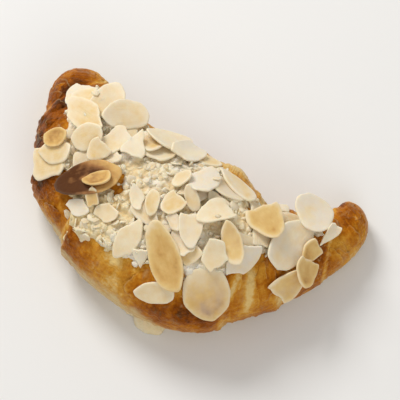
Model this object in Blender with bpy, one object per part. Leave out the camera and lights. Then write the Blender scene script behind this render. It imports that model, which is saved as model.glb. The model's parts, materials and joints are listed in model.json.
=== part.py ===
"""Almond croissant at real size.

A roll of flaky dough is bent into a fat half moon, wider on its left arm than on its right one.
Its wraps end in low steps along both arms, its underside is flat, and a bed of crumbly almond
cream on its top carries sliced almonds, baked on. All of it holds together as one solid.

Metres, +Z up. +X runs from the left tip to the right tip, and -Y is the outer side of the bend.
The origin is under the middle of the croissant, on the surface that it rests on.
"""

import math

import bmesh
import bpy
import numpy as np
from mathutils import Matrix, Vector

MM = 0.001

# The arc that the roll is bent along.
BEND_CENTRE = Vector((0.0046, 0.0605))
BEND_RADIUS = 0.0663

# Ribs across the roll, from the left tip to the right one. Each holds its angle round the bend
# in degrees, then in millimetres its width outside the arc, its width inside it and its height.
RIBS = np.array(
    (
        (-73, 9, 8, 15),
        (-67, 12, 10, 19),
        (-60, 14.5, 13.5, 24),
        (-50, 20, 19.5, 32),
        (-40, 26, 25, 37),
        (-28, 28.8, 28.5, 39.5),
        (-14, 32.2, 32, 41),
        (0, 33.5, 33, 41),
        (10, 32.5, 33.5, 40),
        (18, 28, 32.5, 37.5),
        (26, 21.8, 26, 32.5),
        (34, 17.5, 20.5, 28),
        (44, 12, 16.5, 23),
        (54, 9.3, 13, 19.5),
        (62, 8, 9.3, 17.5),
        (68.4, 7, 7.8, 16),
    )
)
OUTER, INNER, HEIGHT = 1, 2, 3

# The shape of one rib.
WIDEST = 0.36  # how far up the rib its widest place is
UNDERSIDE_DROP = 1.25  # how far the round underside would reach below the rest, before it is cut flat
UNDERSIDE_ROUND = 0.75  # under 1, the sides turn in to the underside more squarely
SHOULDER = 0.92  # under 1, the top is fuller than an ellipse
TIP_ROUND = 6.0  # degrees over which each tip rounds off
LEAST_ROUNDING = 0.05  # keeps the very end of a tip from dividing by nothing
CURL_START = 44.0  # degrees, where the right tip starts to curl inwards
TIP_CURL = 0.0065  # how far inside the arc the right tip ends

# The steps where the wraps of dough end, from the left arm to the right one, in degrees.
WRAP_ENDS = (-62, -47, -29.5, 24.5, 39, 52)
WRAP_STEP = 0.06  # half of a step's height, as a share of the rib
WRAP_SLANT = 6.0  # how much nearer the middle a step ends outside the arc than on its line
WRAP_SHARPNESS = 0.9  # how long the drop of a step is
WRAP_REACH = 8.0  # how soon a wrap's swelling fades away from its step

# Soft dents and swellings: waves along the bend, waves round the roll, phase, share of the rib.
SWELLINGS = ((5, 2, 0.4, 0.012), (8, 3, 2.1, 0.010), (13, 4, 4.4, 0.008))

# The bed of almond cream on the top. Each row of its borders holds an angle round the bend, then
# where the cream ends inside the arc and outside it, as shares of the roll's width.
BED_ENDS = (-61, 51)
BED_BORDERS = np.array(
    (
        (-61, -0.86, 0.30),
        (-50, -0.86, 0.42),
        (-40, -0.86, 0.62),
        (-33, -0.86, 0.64),
        (-29, -0.86, 0.73),
        (-22, -0.86, 0.87),
        (-14, -0.86, 0.79),
        (-3, -0.86, 0.67),
        (9, -0.80, 0.60),
        (18, -0.74, 0.54),
        (24, -0.76, 0.40),
        (28, -0.74, 0.22),
        (33, -0.50, 0.32),
        (38, -0.60, 0.40),
        (44, -0.80, 0.34),
        (51, -0.80, 0.10),
    )
)
BED_THICKNESS = 0.0022
BED_FADE = 0.16
BED_LUMP = 0.0007  # how far its lumps stand out or sink in
BED_LUMP_SIZE = 0.0018
BED_LUMP_STRETCH = 1.15  # how much longer the lumps are across the plan than along it
BED_LUMP_DRIFT = 0.0055  # how soon their rows wander

# Resolution of the roll's surface.
RINGS = 90
ROUND_SIDES = 30

# Sliced almonds.
SLICE_THICKNESS = 0.0013
SLICE_SIDES = 10
SLICE_SINK = 0.0006  # how deep a slice is baked into what it lies on
SLICE_CURL = 0.0007  # how far its rim curls up
STEEPEST = 2.0  # the steepest that a slice lies, as rise over run

# Outlines: how much narrower one end is than the other, then the straight edges where bits broke
# off, each by its direction in degrees and how far out it is.
OUTLINES = {
    "whole": (0.22, ()),
    "round": (0.08, ()),
    "broken": (0.16, ((0, 0.55),)),
    "chipped": (0.18, ((38, 0.70), (-158, 0.80))),
    "block": (0.0, ((4, 0.82), (94, 0.74), (186, 0.84), (-82, 0.78))),
    "torn": (0.10, ((12, 0.60), (78, 0.72), (-150, 0.70))),
    "shard": (0.62, ((0, 0.72), (125, 0.48))),
}

# Slices scattered under the ones that show.
SCATTER_SEED = 7
SCATTER_COUNT = 44
SCATTER_ENDS = (-58, 42)
SCATTER_SIDES = (-0.86, 0.62)
SCATTER_LENGTH = (0.009, 0.017)
SCATTER_SLENDERNESS = (0.55, 0.80)
SCATTER_OUTLINES = ("broken", "torn", "chipped", "shard", "whole", "block")
GOLDEN_SHARE = (math.sqrt(5) - 1) / 2

# Where no slice is scattered, because cream or crust shows bare: angle round the bend and distance
# outside the arc, then the reach along the bend and across it. Degrees and millimetres.
OPEN_PLACES = (
    (-53, 12, 12, 7),
    (-35, -5, 4, 5),
    (-25, 2, 5, 4),
    (-17, -6, 6, 7),
    (-11, 20, 9, 8),
    (16, 17, 8, 6),
    (22, -24, 14, 6),
)

# The slices that show most, lowest first. Each holds its angle round the bend and its distance
# outside the arc, then its heading on the plan, length, width and outline. Degrees and millimetres.
LAID_SLICES = (
    (-55, -2, 20, 17, 12, "chipped"),
    (-50.5, -7, 75, 20, 12, "whole"),
    (-43.5, -13, 40, 20, 13, "round"),
    (-24, -23, 15, 20, 13, "whole"),
    (-13.5, -25.5, 60, 19, 12, "torn"),
    (-47.5, 1.5, -12, 20, 13, "chipped"),
    (-34.5, -5.5, 60, 14, 11, "block"),
    (-39.5, 3.5, 47, 13, 11, "round"),
    (-34, 2, 66, 11, 9, "broken"),
    (-40, 19, 20, 19, 17, "block"),
    (-41, 15.5, 30, 17, 12, "chipped"),
    (-44, 14, 24, 11.5, 8, "round"),
    (-24.5, 19.5, 20, 12, 8, "torn"),
    (-18, 14, 45, 11, 9, "torn"),
    (-14, 3, -45, 11, 6, "chipped"),
    (-28.5, -11, -93, 15, 11, "shard"),
    (2.5, -16.5, 97, 17, 13, "chipped"),
    (-5, -13, 50, 9, 7, "round"),
    (17, -20.5, -15, 17, 9, "whole"),
    (-3, -3.5, 65, 12, 9, "broken"),
    (-9, 1.5, 109, 11, 6, "whole"),
    (22.5, 8, 77, 19, 12, "torn"),
    (14.5, 22.5, 130, 21.5, 20.5, "whole"),
    (37, 1.5, 77, 23, 17, "round"),
    (48.5, -9, -23, 17, 15, "round"),
    (5.5, 2.5, 111, 17, 10, "broken"),
    (19, 4, -49, 17, 9, "whole"),
    (15, 10, -34, 14, 12, "torn"),
    (12.5, -6, 50, 18, 11, "broken"),
    (-9, 17, 87, 18, 10, "chipped"),
    (-4, 19.5, 117, 9, 7, "shard"),
    (2.5, 27.5, 19, 16, 10, "whole"),
    (1.5, 15.5, -44, 29, 14, "whole"),
    (-28.5, 12, 32, 28, 14.5, "whole"),
    (-23, 14.5, -50, 10, 6, "torn"),
    (-26, 9.5, 30, 11.5, 7.5, "whole"),
    (30, -8, 142, 18, 16, "broken"),
    (51, 0.5, 72, 12, 6, "shard"),
    (44, 4, 69, 11, 9, "broken"),
    (34.5, 15, -118, 19, 13, "broken"),
    (40.5, 11.5, 105, 14, 13, "broken"),
)

# Slices propped up by the cream: their angle and distance, and the steepest that they lie.
PROPPED = {
    (48.5, -9): 0.3,
    (51, 0.5): 0.7,
    (44, 4): 1,
    (34.5, 15): 1.2,
    (40.5, 11.5): 1.3,
}

# Almond cream that ran out at the foot of the belly, in lobes. Each holds its angle round the bend
# and its distance outside the arc, then its half-sizes along X, along Y and upwards.
LEAK_LOBES = (
    (2.3, 30, 6.8, 5.5, 2.6),
    (-2.5, 27.2, 5.5, 4.6, 3.0),
    (-7, 26.6, 5, 4.2, 3.4),
)
LEAK_SIDES = 12

# The grid of heights that the slices are laid on.
GRID_STEP = 0.001
GRID_MARGIN = 0.004
FOOTPRINT_RINGS = (0.35, 0.7, 1.0)  # where a slice feels for what is under it
FOOTPRINT_SPOKES = 12
SLOPE_SEARCH = (0.6, 0.3, 0.15, 0.075, 0.04, 0.02)  # from coarse to fine
SLOPE_STEPS = (-2, -1, 0, 1, 2)

CRUST_COLOUR = (0.40, 0.17, 0.03, 1.0)
ALMOND_COLOUR = (0.64, 0.50, 0.28, 1.0)


def smooth_step(value):
    value = np.clip(value, 0, 1)
    return value * value * (3 - 2 * value)


def rib_measure(column, angle):
    """One of the ribs' sizes at any angle round the bend, on a smooth curve through the ribs."""
    places = RIBS[:, 0]
    sizes = RIBS[:, column]
    slopes = np.gradient(sizes, places)
    left = np.clip(np.searchsorted(places, angle) - 1, 0, len(places) - 2)
    gap = places[left + 1] - places[left]
    share = np.clip((angle - places[left]) / gap, 0, 1)
    to_right = smooth_step(share)
    by_size = (1 - to_right) * sizes[left] + to_right * sizes[left + 1]
    by_slope = (1 - share) ** 2 * share * slopes[left] - share**2 * (1 - share) * slopes[left + 1]
    return (by_size + gap * by_slope) * MM


def tip_rounding(angle):
    """1 along the roll, falling to 0 at both tips as a round end does."""
    from_tip = np.minimum(angle - RIBS[0, 0], RIBS[-1, 0] - angle)
    return np.sqrt(np.clip(1 - np.clip(1 - from_tip / TIP_ROUND, 0, 1) ** 2, 0, 1))


def roll_line(angle):
    """How far the middle of the roll lies outside the arc; the right tip curls inwards."""
    share = np.clip((angle - CURL_START) / (RIBS[-1, 0] - CURL_START), 0, 1)
    return -TIP_CURL * share**2


def wrap_steps(angle, across):
    """How much the steps of the wraps swell or narrow the roll; across runs from -1 inside to 1 outside."""
    swell = np.ones_like(angle + across)
    for end in WRAP_ENDS:
        side = math.copysign(1, end)
        past = side * (angle - end) + WRAP_SLANT * across
        swell = swell - WRAP_STEP * np.tanh(past / WRAP_SHARPNESS) * np.exp(-np.abs(past) / WRAP_REACH)
    return swell


def swellings(angle, across):
    """Soft unevenness of the baked roll."""
    total = 0.0
    for along, around, phase, share in SWELLINGS:
        total = total + share * np.sin(np.radians(along * angle) + phase) * np.cos(around * across + phase)
    return total


def bed_height(angle, across, x, y):
    """Thickness of the almond cream, with its lumps."""
    ends = (angle - BED_ENDS[0]) * (BED_ENDS[1] - angle)
    along = smooth_step(ends / (abs(BED_ENDS[0]) * BED_ENDS[1] * BED_FADE))
    inner = np.interp(angle, BED_BORDERS[:, 0], BED_BORDERS[:, 1])
    outer = np.interp(angle, BED_BORDERS[:, 0], BED_BORDERS[:, 2])
    sides = smooth_step(np.minimum(across - inner, outer - across) / BED_FADE)
    rows = np.sin(x / BED_LUMP_SIZE + np.sin(y / BED_LUMP_DRIFT))
    lumps = rows * np.cos(y / (BED_LUMP_SIZE * BED_LUMP_STRETCH))
    return along * sides * (BED_THICKNESS + BED_LUMP * lumps)


def rib_point(angle, turn):
    """A point of the roll's surface: angle round the bend, turn round the rib from its outer side up."""
    outward = math.cos(turn)
    upward = math.sin(turn)
    rounding = float(tip_rounding(angle))
    swell = float(wrap_steps(angle, outward) + swellings(angle, outward)) * rounding
    height = float(rib_measure(HEIGHT, angle))
    width = float(rib_measure(OUTER if outward > 0 else INNER, angle)) * swell
    widest = WIDEST * height
    x, y = on_plan(angle, float(roll_line(angle)) + width * outward)
    if upward >= 0:
        bed = float(bed_height(angle, outward, x, y)) * rounding
        return x, y, widest + (height - widest) * swell * upward**SHOULDER + bed * upward
    below = widest * UNDERSIDE_DROP * rounding * (-upward) ** UNDERSIDE_ROUND
    return x, y, max(widest - below, 0.0)


def roll_top(x, y):
    """Height of the roll's top over any places on the plan, and 0 beside it."""
    aside = x - BEND_CENTRE.x
    ahead = BEND_CENTRE.y - y
    angle = np.degrees(np.arctan2(aside, ahead))
    inside_tips = (angle > RIBS[0, 0]) & (angle < RIBS[-1, 0])
    held = np.clip(angle, RIBS[0, 0], RIBS[-1, 0])
    offset = np.hypot(aside, ahead) - BEND_RADIUS - roll_line(held)
    rounding = tip_rounding(held)
    width = np.where(offset > 0, rib_measure(OUTER, held), rib_measure(INNER, held))
    plain = width * np.maximum(rounding, LEAST_ROUNDING)
    across = np.clip(offset / plain, -1, 1)
    swell = wrap_steps(held, across) + swellings(held, across)
    across = np.clip(offset / (plain * swell), -1, 1)
    upward = np.sqrt(1 - across**2)
    height = rib_measure(HEIGHT, held)
    widest = WIDEST * height
    dome = widest + (height - widest) * swell * rounding * upward**SHOULDER
    bed = bed_height(held, across, x, y) * rounding * upward
    return np.where(inside_tips & (np.abs(across) < 1), dome + bed, 0.0)


def make_material(name, colour, roughness):
    material = bpy.data.materials.new(name)
    material.use_nodes = True
    shader = material.node_tree.nodes["Principled BSDF"]
    shader.inputs["Base Color"].default_value = colour
    shader.inputs["Roughness"].default_value = roughness
    shader.inputs["Metallic"].default_value = 0.0
    material.diffuse_color = colour
    return material


def object_from(work, name, material, collection):
    """A linked object made from an edited mesh, shaded smooth."""
    mesh = bpy.data.meshes.new(name)
    work.to_mesh(mesh)
    work.free()
    mesh.materials.append(material)
    mesh.shade_smooth()
    made = bpy.data.objects.new(name, mesh)
    collection.objects.link(made)
    return made


def make_roll(material, collection):
    """The dough: a ball whose poles become the tips and whose rings become the ribs."""
    work = bmesh.new()
    bmesh.ops.create_uvsphere(work, u_segments=ROUND_SIDES, v_segments=RINGS, radius=1)
    span = RIBS[-1, 0] - RIBS[0, 0]
    for corner in work.verts:
        along = math.acos(max(-1.0, min(1.0, corner.co.z))) / math.pi
        turn = math.atan2(corner.co.y, corner.co.x)
        corner.co = rib_point(RIBS[0, 0] + span * along, turn)
    bmesh.ops.recalc_face_normals(work, faces=work.faces)
    return object_from(work, "croissant", material, collection)


class Heights:
    """Heights over the plan of all that has been laid so far."""

    def __init__(self):
        reach = BEND_RADIUS + RIBS[:, OUTER].max() * MM + GRID_MARGIN
        x = np.arange(BEND_CENTRE.x - reach, BEND_CENTRE.x + reach, GRID_STEP)
        y = np.arange(BEND_CENTRE.y - reach, BEND_CENTRE.y + GRID_MARGIN, GRID_STEP)
        self.x, self.y = np.meshgrid(x, y, indexing="ij")
        self.top = roll_top(self.x, self.y)

    def at(self, x, y):
        column = np.clip(np.rint((x - self.x[0, 0]) / GRID_STEP).astype(int), 0, self.x.shape[0] - 1)
        row = np.clip(np.rint((y - self.y[0, 0]) / GRID_STEP).astype(int), 0, self.y.shape[1] - 1)
        return self.top[column, row]

    def lay(self, rest, size):
        """Raises the heights by a slice that lies at rest."""
        x, y, z, slope_x, slope_y, heading = rest
        along, aside = on_slice(self.x - x, self.y - y, slope_x, slope_y, heading)
        covered = (along / (size[0] / 2)) ** 2 + (aside / (size[1] / 2)) ** 2 < 1
        plane = z + slope_x * (self.x - x) + slope_y * (self.y - y)
        raised = plane + SLICE_THICKNESS * math.hypot(1, slope_x, slope_y)
        self.top = np.where(covered, np.maximum(self.top, raised), self.top)


def slice_axes(slope_x, slope_y, heading):
    """Unit vectors along a sloping slice, across it and out of it."""
    out = Vector((-slope_x, -slope_y, 1)).normalized()
    forward = Vector((math.cos(heading), math.sin(heading), 0))
    forward.z = slope_x * forward.x + slope_y * forward.y
    forward.normalize()
    return forward, out.cross(forward), out


def on_slice(x, y, slope_x, slope_y, heading):
    """Places on the plan, measured along and across a sloping slice."""
    forward, aside, _ = slice_axes(slope_x, slope_y, heading)
    z = slope_x * x + slope_y * y
    return forward.x * x + forward.y * y + forward.z * z, aside.x * x + aside.y * y + aside.z * z


def footprint(size, slope_x, slope_y, heading):
    """Places on the plan under a sloping slice, from its middle."""
    forward, aside, _ = slice_axes(slope_x, slope_y, heading)
    spoke = np.arange(FOOTPRINT_SPOKES) * 2 * math.pi / FOOTPRINT_SPOKES
    ring = np.array(FOOTPRINT_RINGS)[:, None]
    along = np.append(0, ring * np.cos(spoke) * size[0] / 2)
    across = np.append(0, ring * np.sin(spoke) * size[1] / 2)
    return along * forward.x + across * aside.x, along * forward.y + across * aside.y


def settle(heights, x, y, heading, size, steepest):
    """Where a slice comes to rest: the lowest plane through its middle that nothing pokes through."""
    slope = (0.0, 0.0)
    middle = 0.0
    for step in SLOPE_SEARCH:
        under_x, under_y = footprint(size, *slope, heading)
        ground = heights.at(x + under_x, y + under_y)
        around = [(i * step, j * step) for i in SLOPE_STEPS for j in SLOPE_STEPS]
        tries = np.clip(np.array(slope) + around, -steepest, steepest)
        middles = (ground - tries[:, :1] * under_x - tries[:, 1:] * under_y).max(axis=1)
        best = int(middles.argmin())
        slope = (float(tries[best, 0]), float(tries[best, 1]))
        middle = float(middles[best])
    return x, y, middle - SLICE_SINK, slope[0], slope[1], heading


def broken_off(along, across, edges):
    """A place on a slice's outline, pulled back to the edges where bits broke off."""
    for direction, reach in edges:
        forward = math.cos(math.radians(direction))
        aside = math.sin(math.radians(direction))
        past = max(along * forward + across * aside - reach, 0)
        along = along - past * forward
        across = across - past * aside
    return along, across


def make_slice(index, rest, size, outline, material, collection):
    """One sliced almond, a thin curled slab on its resting plane."""
    taper, edges = OUTLINES[outline]
    work = bmesh.new()
    bmesh.ops.create_cone(
        work, cap_ends=True, cap_tris=True, segments=SLICE_SIDES, radius1=1, radius2=1, depth=1
    )
    for corner in work.verts:
        across = corner.co.y * (1 + taper * corner.co.x) / (1 + taper / 2)
        along, across = broken_off(corner.co.x, across, edges)
        rise = SLICE_THICKNESS * (corner.co.z + 0.5) + SLICE_CURL * (along**2 + across**2 - 0.5)
        corner.co = (along * size[0] / 2, across * size[1] / 2, rise)
    x, y, z, slope_x, slope_y, heading = rest
    forward, aside, out = slice_axes(slope_x, slope_y, heading)
    frame = Matrix((forward, aside, out)).transposed().to_4x4()
    work.transform(Matrix.Translation((x, y, z)) @ frame)
    bmesh.ops.recalc_face_normals(work, faces=work.faces)
    return object_from(work, f"slice_{index}", material, collection)


def on_plan(angle, distance):
    """A place given by its angle round the bend and its distance outside the arc."""
    turn = math.radians(angle)
    reach = BEND_RADIUS + distance
    return BEND_CENTRE.x + reach * math.sin(turn), BEND_CENTRE.y - reach * math.cos(turn)


def shows_bare(angle, distance):
    """True where no slice is scattered."""
    for place, outside, along, across in OPEN_PLACES:
        if ((angle - place) / along) ** 2 + ((distance / MM - outside) / across) ** 2 < 1:
            return True
    return False


def scattered_slices():
    """Slices spread evenly over the bed, by golden-ratio steps along it and random places across it."""
    draw = np.random.default_rng(SCATTER_SEED)
    for index in range(SCATTER_COUNT):
        share = (index * GOLDEN_SHARE) % 1
        angle = SCATTER_ENDS[0] + share * (SCATTER_ENDS[1] - SCATTER_ENDS[0])
        across = draw.uniform(*SCATTER_SIDES)
        width = float(rib_measure(OUTER if across > 0 else INNER, angle))
        length = draw.uniform(*SCATTER_LENGTH)
        size = (length, length * draw.uniform(*SCATTER_SLENDERNESS))
        outline = SCATTER_OUTLINES[index % len(SCATTER_OUTLINES)]
        heading = draw.uniform(0, 2 * math.pi)
        if not shows_bare(angle, across * width):
            yield on_plan(angle, across * width), heading, size, outline, STEEPEST


def laid_slices():
    """The slices of the table, in metres and radians."""
    for angle, distance, heading, length, width, outline in LAID_SLICES:
        steepest = PROPPED.get((angle, distance), STEEPEST)
        size = (length * MM, width * MM)
        yield on_plan(angle, distance * MM), math.radians(heading), size, outline, steepest


def make_slices(material, collection):
    heights = Heights()
    slices = [*scattered_slices(), *laid_slices()]
    for index, (place, heading, size, outline, steepest) in enumerate(slices):
        rest = settle(heights, *place, heading, size, steepest)
        heights.lay(rest, size)
        make_slice(index, rest, size, outline, material, collection)


def make_leak(material, collection):
    """The small pale lumps of almond cream at the foot of the belly."""
    for index, (angle, distance, *half_sizes) in enumerate(LEAK_LOBES):
        half_size = Vector(half_sizes) * MM
        work = bmesh.new()
        bmesh.ops.create_uvsphere(work, u_segments=LEAK_SIDES, v_segments=LEAK_SIDES // 2, radius=1)
        x, y = on_plan(angle, distance * MM)
        work.transform(Matrix.Translation((x, y, half_size.z)) @ Matrix.Diagonal((*half_size, 1)))
        object_from(work, f"leak_{index}", material, collection)


def fuse(body, toppings):
    """Joins the slices to the roll as one solid, and removes them."""
    union = body.modifiers.new("baked on", "BOOLEAN")
    union.operation = "UNION"
    union.operand_type = "COLLECTION"
    union.collection = toppings
    union.solver = "EXACT"
    union.material_mode = "TRANSFER"
    graph = bpy.context.evaluated_depsgraph_get()
    fused = bpy.data.meshes.new_from_object(body.evaluated_get(graph))
    body.modifiers.clear()
    body.data = fused
    for topping in list(toppings.objects):
        bpy.data.objects.remove(topping)
    bpy.data.collections.remove(toppings)


def shells_of(work):
    """The separate closed surfaces of a mesh."""
    left = set(work.verts)
    while left:
        shell = set()
        edge_of_shell = [left.pop()]
        while edge_of_shell:
            corner = edge_of_shell.pop()
            shell.add(corner)
            near = [edge.other_vert(corner) for edge in corner.link_edges]
            new = [other for other in near if other in left]
            left.difference_update(new)
            edge_of_shell.extend(new)
        yield shell


def keep_largest_shell(body):
    """Fills the hollows that fusing seals, and drops loose scraps."""
    work = bmesh.new()
    work.from_mesh(body.data)
    shells = sorted(shells_of(work), key=len)
    spare = [corner for shell in shells[:-1] for corner in shell]
    bmesh.ops.delete(work, geom=spare, context="VERTS")
    work.to_mesh(body.data)
    work.free()


def main():
    for leftover in list(bpy.data.objects):
        bpy.data.objects.remove(leftover)
    parts = bpy.data.collections.new("almond_croissant")
    toppings = bpy.data.collections.new("toppings")
    bpy.context.scene.collection.children.link(parts)
    bpy.context.scene.collection.children.link(toppings)
    crust = make_material("baked crust", CRUST_COLOUR, 0.45)
    almond = make_material("sliced almond", ALMOND_COLOUR, 0.6)
    roll = make_roll(crust, parts)
    make_slices(almond, toppings)
    make_leak(almond, toppings)
    fuse(roll, toppings)
    keep_largest_shell(roll)


main()
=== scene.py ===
# %% [markdown]
# # An almond croissant, dressed for its picture
#
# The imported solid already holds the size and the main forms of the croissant. This lesson builds
# what the eye sees round it: a flaky crust, a crumbly bed of almond cream, sliced almonds and the
# crumbs between them. Every length is in metres and +Z points up.

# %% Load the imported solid
import json
import math

import bmesh
import bpy
import numpy as np
from mathutils import Matrix, Vector
from mathutils.bvhtree import BVHTree

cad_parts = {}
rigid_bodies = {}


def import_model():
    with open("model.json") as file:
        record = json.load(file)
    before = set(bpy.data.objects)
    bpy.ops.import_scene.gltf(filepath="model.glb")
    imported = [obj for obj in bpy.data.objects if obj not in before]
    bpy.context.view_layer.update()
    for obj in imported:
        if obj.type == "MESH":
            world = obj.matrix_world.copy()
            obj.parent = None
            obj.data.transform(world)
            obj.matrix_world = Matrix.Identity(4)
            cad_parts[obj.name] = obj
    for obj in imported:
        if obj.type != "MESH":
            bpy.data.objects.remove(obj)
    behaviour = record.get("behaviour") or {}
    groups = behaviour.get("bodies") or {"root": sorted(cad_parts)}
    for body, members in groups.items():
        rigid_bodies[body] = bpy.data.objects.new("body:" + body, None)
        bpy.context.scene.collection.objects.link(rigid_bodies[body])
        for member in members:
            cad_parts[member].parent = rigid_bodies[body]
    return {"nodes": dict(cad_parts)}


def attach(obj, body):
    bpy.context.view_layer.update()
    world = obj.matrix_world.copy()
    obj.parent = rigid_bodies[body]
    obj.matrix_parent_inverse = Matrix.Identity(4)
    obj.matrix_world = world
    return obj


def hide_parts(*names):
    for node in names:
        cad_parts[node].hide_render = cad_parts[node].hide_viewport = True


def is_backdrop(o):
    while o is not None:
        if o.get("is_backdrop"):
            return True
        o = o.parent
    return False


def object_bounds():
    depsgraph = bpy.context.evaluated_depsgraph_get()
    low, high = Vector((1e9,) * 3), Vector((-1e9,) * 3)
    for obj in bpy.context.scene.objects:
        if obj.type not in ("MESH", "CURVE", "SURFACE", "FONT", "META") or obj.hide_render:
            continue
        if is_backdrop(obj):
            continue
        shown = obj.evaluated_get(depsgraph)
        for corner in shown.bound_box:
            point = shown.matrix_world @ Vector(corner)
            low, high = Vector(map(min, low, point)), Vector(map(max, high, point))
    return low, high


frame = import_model()
cad_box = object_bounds()
MM = 0.001


def in_mm(lengths):
    return np.round(np.array(lengths, float) / MM, 1).tolist()


print("solids:", sorted(frame["nodes"]), "box in mm:", in_mm(cad_box))

# %% [markdown]
# ## The form of the roll
#
# A croissant is a strip of dough rolled up and bent into a half moon. Ribs across the roll say how
# wide and how high it is at each angle round the bend, and one rule turns them into a surface. It
# could be modelled by hand, but the same rule in numbers also says where the toppings come to rest,
# and it keeps the visible crust on the solid.

# %% The bend and the ribs
BEND_CENTRE = Vector((0.0046, 0.0605))
BEND_RADIUS = 0.0663
# Angle round the bend in degrees, then in millimetres: width outside the arc, inside it, height.
RIBS = np.array((
    (-73, 9, 8, 15), (-67, 12, 10, 19), (-60, 14.5, 13.5, 24), (-50, 20, 19.5, 32),
    (-40, 26, 25, 37), (-28, 28.8, 28.5, 39.5), (-14, 32.2, 32, 41), (0, 33.5, 33, 41),
    (10, 32.5, 33.5, 40), (18, 28, 32.5, 37.5), (26, 21.8, 26, 32.5), (34, 17.5, 20.5, 28),
    (44, 12, 16.5, 23), (54, 9.3, 13, 19.5), (62, 8, 9.3, 17.5), (68.4, 7, 7.8, 16),
))
OUTER, INNER, HEIGHT = 1, 2, 3
FIRST_ANGLE, LAST_ANGLE = RIBS[0, 0], RIBS[-1, 0]
WIDEST = 0.36  # how far up a rib its widest place is
UNDERSIDE_DROP, UNDERSIDE_ROUND = 1.25, 0.75
SHOULDER = 0.92
TIP_ROUND = 6.0
LEAST_ROUNDING = 0.05
CURL_START = 44.0  # degrees, where the right tip starts to curl inwards
TIP_CURL = 0.0065


def smooth_step(value):
    value = np.clip(value, 0, 1)
    return value * value * (3 - 2 * value)


def rib_measure(column, angle):
    """One of the ribs' sizes at any angle round the bend, on a smooth curve through the ribs."""
    places, sizes = RIBS[:, 0], RIBS[:, column]
    slopes = np.gradient(sizes, places)
    left = np.clip(np.searchsorted(places, angle) - 1, 0, len(places) - 2)
    gap = places[left + 1] - places[left]
    share = np.clip((angle - places[left]) / gap, 0, 1)
    to_right = smooth_step(share)
    by_size = (1 - to_right) * sizes[left] + to_right * sizes[left + 1]
    by_slope = (1 - share) ** 2 * share * slopes[left] - share**2 * (1 - share) * slopes[left + 1]
    return (by_size + gap * by_slope) * MM


def half_width(angle, side):
    """From the roll's middle to its side: the outer one where side is positive, or the inner."""
    return np.where(side > 0, rib_measure(OUTER, angle), rib_measure(INNER, angle))


def tip_rounding(angle):
    """1 along the roll, falling to 0 at both tips as a round end does."""
    from_tip = np.minimum(angle - FIRST_ANGLE, LAST_ANGLE - angle)
    return np.sqrt(np.clip(1 - np.clip(1 - from_tip / TIP_ROUND, 0, 1) ** 2, 0, 1))


def roll_line(angle):
    """How far the middle of the roll lies outside the arc; the right tip curls inwards."""
    return -TIP_CURL * np.clip((angle - CURL_START) / (LAST_ANGLE - CURL_START), 0, 1) ** 2


def on_plan(angle, distance):
    """A place given by its angle round the bend and its distance outside the arc."""
    turn, reach = np.radians(angle), BEND_RADIUS + distance
    return BEND_CENTRE.x + reach * np.sin(turn), BEND_CENTRE.y - reach * np.cos(turn)


print("the roll is", in_mm(rib_measure(HEIGHT, 0.0)), "mm high in the middle")

# %% [markdown]
# ## The steps of the wraps
#
# Each turn of the rolled strip ends in a step. Where the knife cut the strip, the step shows the
# edges of several thin layers, like the pages of a book. One smooth step is enough for the solid.
# For the eye it is split into pages that end a little apart and wander as they go round.

# %% Wraps, pages and soft dents
WRAP_ENDS = (-62, -47, -29.5, 24.5, 39, 52)
WRAP_STEP = 0.06
WRAP_SLANT = 6.0
WRAP_SHARPNESS = 0.9
WRAP_REACH = 8.0
PAGE_ENDS = (-1.5, -0.7, 0.0, 0.8)  # where the layers of one step end, in degrees from its middle
PAGE_SHARPNESS = 0.17
PAGE_WAVES = ((0.55, 3, 2.1), (0.2, 11, 4.3))  # size in degrees, waves round the rib, shift by page
# Waves along the bend and round the rib, their phase, and the share by which they swell the roll.
SWELLINGS = ((5, 2, 0.4, 0.012), (8, 3, 2.1, 0.010), (13, 4, 4.4, 0.008))


def past_wrap(end, angle, across):
    """How far past the end of a wrap a place is, in degrees."""
    return math.copysign(1, end) * (angle - end) + WRAP_SLANT * across


def paged_step(past, turn, end):
    """A step made of thin pages; each wanders in its own way round the roll."""
    steps = 0.0
    for page, page_end in enumerate(PAGE_ENDS):
        wander = 0.0
        for size, waves, shift in PAGE_WAVES:
            wander = wander + size * np.sin(waves * turn + shift * page + end)
        steps = steps + np.tanh((past - page_end - wander) / PAGE_SHARPNESS)
    return steps / len(PAGE_ENDS)


def swelling(angle, across, turn=None):
    """How much wraps and dents swell the roll; across runs from -1 inside to 1 outside."""
    swell = np.ones_like(angle + across)
    for end in WRAP_ENDS:
        past = past_wrap(end, angle, across)
        step = np.tanh(past / WRAP_SHARPNESS) if turn is None else paged_step(past, turn, end)
        swell = swell - WRAP_STEP * step * np.exp(-np.abs(past) / WRAP_REACH)
    for along, around, phase, share in SWELLINGS:
        wave = share * np.sin(np.radians(along * angle) + phase)
        swell = swell + wave * np.cos(around * across + phase)
    return swell


print("steps of the wraps, in degrees round the bend:", WRAP_ENDS)

# %% [markdown]
# ## Meshes from rings
#
# The crust, the cream bed, a slice of almond and a flake of pastry are all rows of rings with a
# point at each end. One helper that joins rings into a closed skin serves them all. Lofting curves
# would do it too, but here each ring's points are known, so a plain mesh is simplest.

# %% A helper that skins rings


def full_turn(count):
    return np.arange(count) * 2 * math.pi / count


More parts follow.
